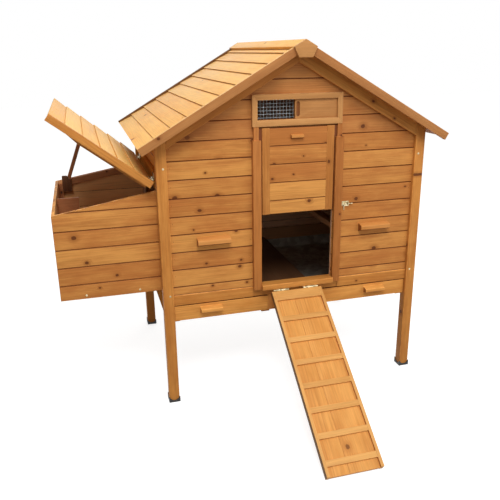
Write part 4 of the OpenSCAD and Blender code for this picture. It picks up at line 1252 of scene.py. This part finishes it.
@dataclass
class Studio:
    """The camera at the photograph's place, a pale floor and soft light."""

    bench: Bench
    focal_px: float = 598.5
    frame_px: float = 500.0
    sensor: float = 36.0
    reach: float = 60.0
    yaw: float = 15.52
    pitch: float = 18.53
    roll: float = -0.71
    stand: Place = (-243.6, -2112.7, 1350.7)
    floor_half: float = 14.0
    floor_glow: float = 0.8
    floor_grey: Place = (0.5, 0.5, 0.5)
    floor_bounce: Place = (0.42, 0.4, 0.37)
    ambient: float = 0.4
    aim: Place = (0.0, 0.0, 0.6)
    lights: tuple[Lamp, ...] = (
        Lamp("key_light", (-0.5, -3.1, 4.6), 2.2, 185.0),
        Lamp("fill_light", (3.0, -3.4, 2.4), 3.0, 52.0),
        Lamp("back_light", (0.6, 3.8, 3.0), 3.0, 40.0),
    )

    def build(self) -> None:
        """Sets the camera, the floor, the lamps and the background."""
        self.camera()
        self.floor()
        for light in self.lights:
            self.hang(light)
        self.background()

    def camera(self) -> None:
        """Puts the camera where the photograph was taken from."""
        yaw, pitch, roll = (math.radians(a) for a in (self.yaw, self.pitch, self.roll))
        level = math.cos(pitch)
        ahead = Vector((math.sin(yaw) * level, math.cos(yaw) * level, -math.sin(pitch)))
        right = Vector((math.cos(yaw), -math.sin(yaw), 0.0))
        up = right.cross(ahead)
        tilt_right = right * math.cos(roll) + up * math.sin(roll)
        tilt_up = up * math.cos(roll) - right * math.sin(roll)
        lens = bpy.data.cameras.new("photo_camera")
        lens.sensor_width = self.sensor
        lens.lens = self.sensor * self.focal_px / self.frame_px
        lens.clip_end = self.reach
        camera = bpy.data.objects.new("photo_camera", lens)
        turn = Matrix((tilt_right, tilt_up, -ahead)).transposed().to_4x4()
        camera.matrix_world = Matrix.Translation(self.bench.at(*self.stand)) @ turn
        bpy.context.scene.collection.objects.link(camera)
        bpy.context.scene.camera = camera

    def floor(self) -> None:
        """Lays a plain pale floor that looks white and still takes the coop's soft shadow."""
        bm = bmesh.new()
        bmesh.ops.create_grid(bm, x_segments=1, y_segments=1, size=self.floor_half)
        floor = link_mesh("studio_floor", bm)
        r = Recipe(bpy.data.materials.new("studio_floor"))
        glow = r.node("Emission", {"Color": WHITE, "Strength": self.floor_glow})
        matt = r.node("BsdfDiffuse", {"Color": (*self.floor_grey, 1.0)})
        bounce = r.node("BsdfDiffuse", {"Color": (*self.floor_bounce, 1.0)})
        seen = r.node("AddShader", {0: glow.outputs[0], 1: matt.outputs[0]})
        mixed = r.node("MixShader", {0: r.looks(), 1: bounce.outputs[0], 2: seen.outputs[0]})
        r.node("OutputMaterial", {"Surface": mixed.outputs[0]})
        floor.data.materials.append(r.owner)

    def hang(self, lamp: Lamp) -> None:
        """Hangs one lamp and points it at the house.

        Args:
            lamp: The lamp.
        """
        light = bpy.data.lights.new(lamp.name, "AREA")
        light.size = lamp.side
        light.energy = lamp.power
        hung = bpy.data.objects.new(lamp.name, light)
        hung.location = lamp.place
        hung.rotation_mode = "QUATERNION"
        hung.rotation_quaternion = (Vector(self.aim) - Vector(lamp.place)).to_track_quat("-Z", "Y")
        bpy.context.scene.collection.objects.link(hung)

    def background(self) -> None:
        """Shows a white background to the camera and in reflections, and lights plainly."""
        world = bpy.data.worlds.new("studio")
        bpy.context.scene.world = world
        r = Recipe(world)
        ambient = r.node("Background", {0: WHITE, 1: self.ambient})
        white = r.node("Background", {0: WHITE, 1: 1.0})
        mixed = r.node("MixShader", {0: r.looks(), 1: ambient.outputs[0], 2: white.outputs[0]})
        r.node("OutputWorld", {0: mixed.outputs[0]})
        bpy.context.scene.view_settings.view_transform = "Standard"


def main() -> None:
    """Builds the coop's sub-assemblies in order, then the studio."""
    bench, joiner, fixings = Bench.from_frame(), Joiner(), Fixings()
    room = facing(bench.at(*bench.room))
    assemblies = (
        Carcass(joiner, room), Walls(joiner, fixings, bench, room), Roof(joiner), PopDoor(joiner, room),
        Vent(joiner), NestBox(joiner), Ramp(joiner), Trays(joiner), Hardware(joiner, fixings),
        Studio(bench),
    )
    for assembly in assemblies:
        assembly.build()
        log.info("built %s", type(assembly).__name__)


if __name__ == "__main__":
    main()
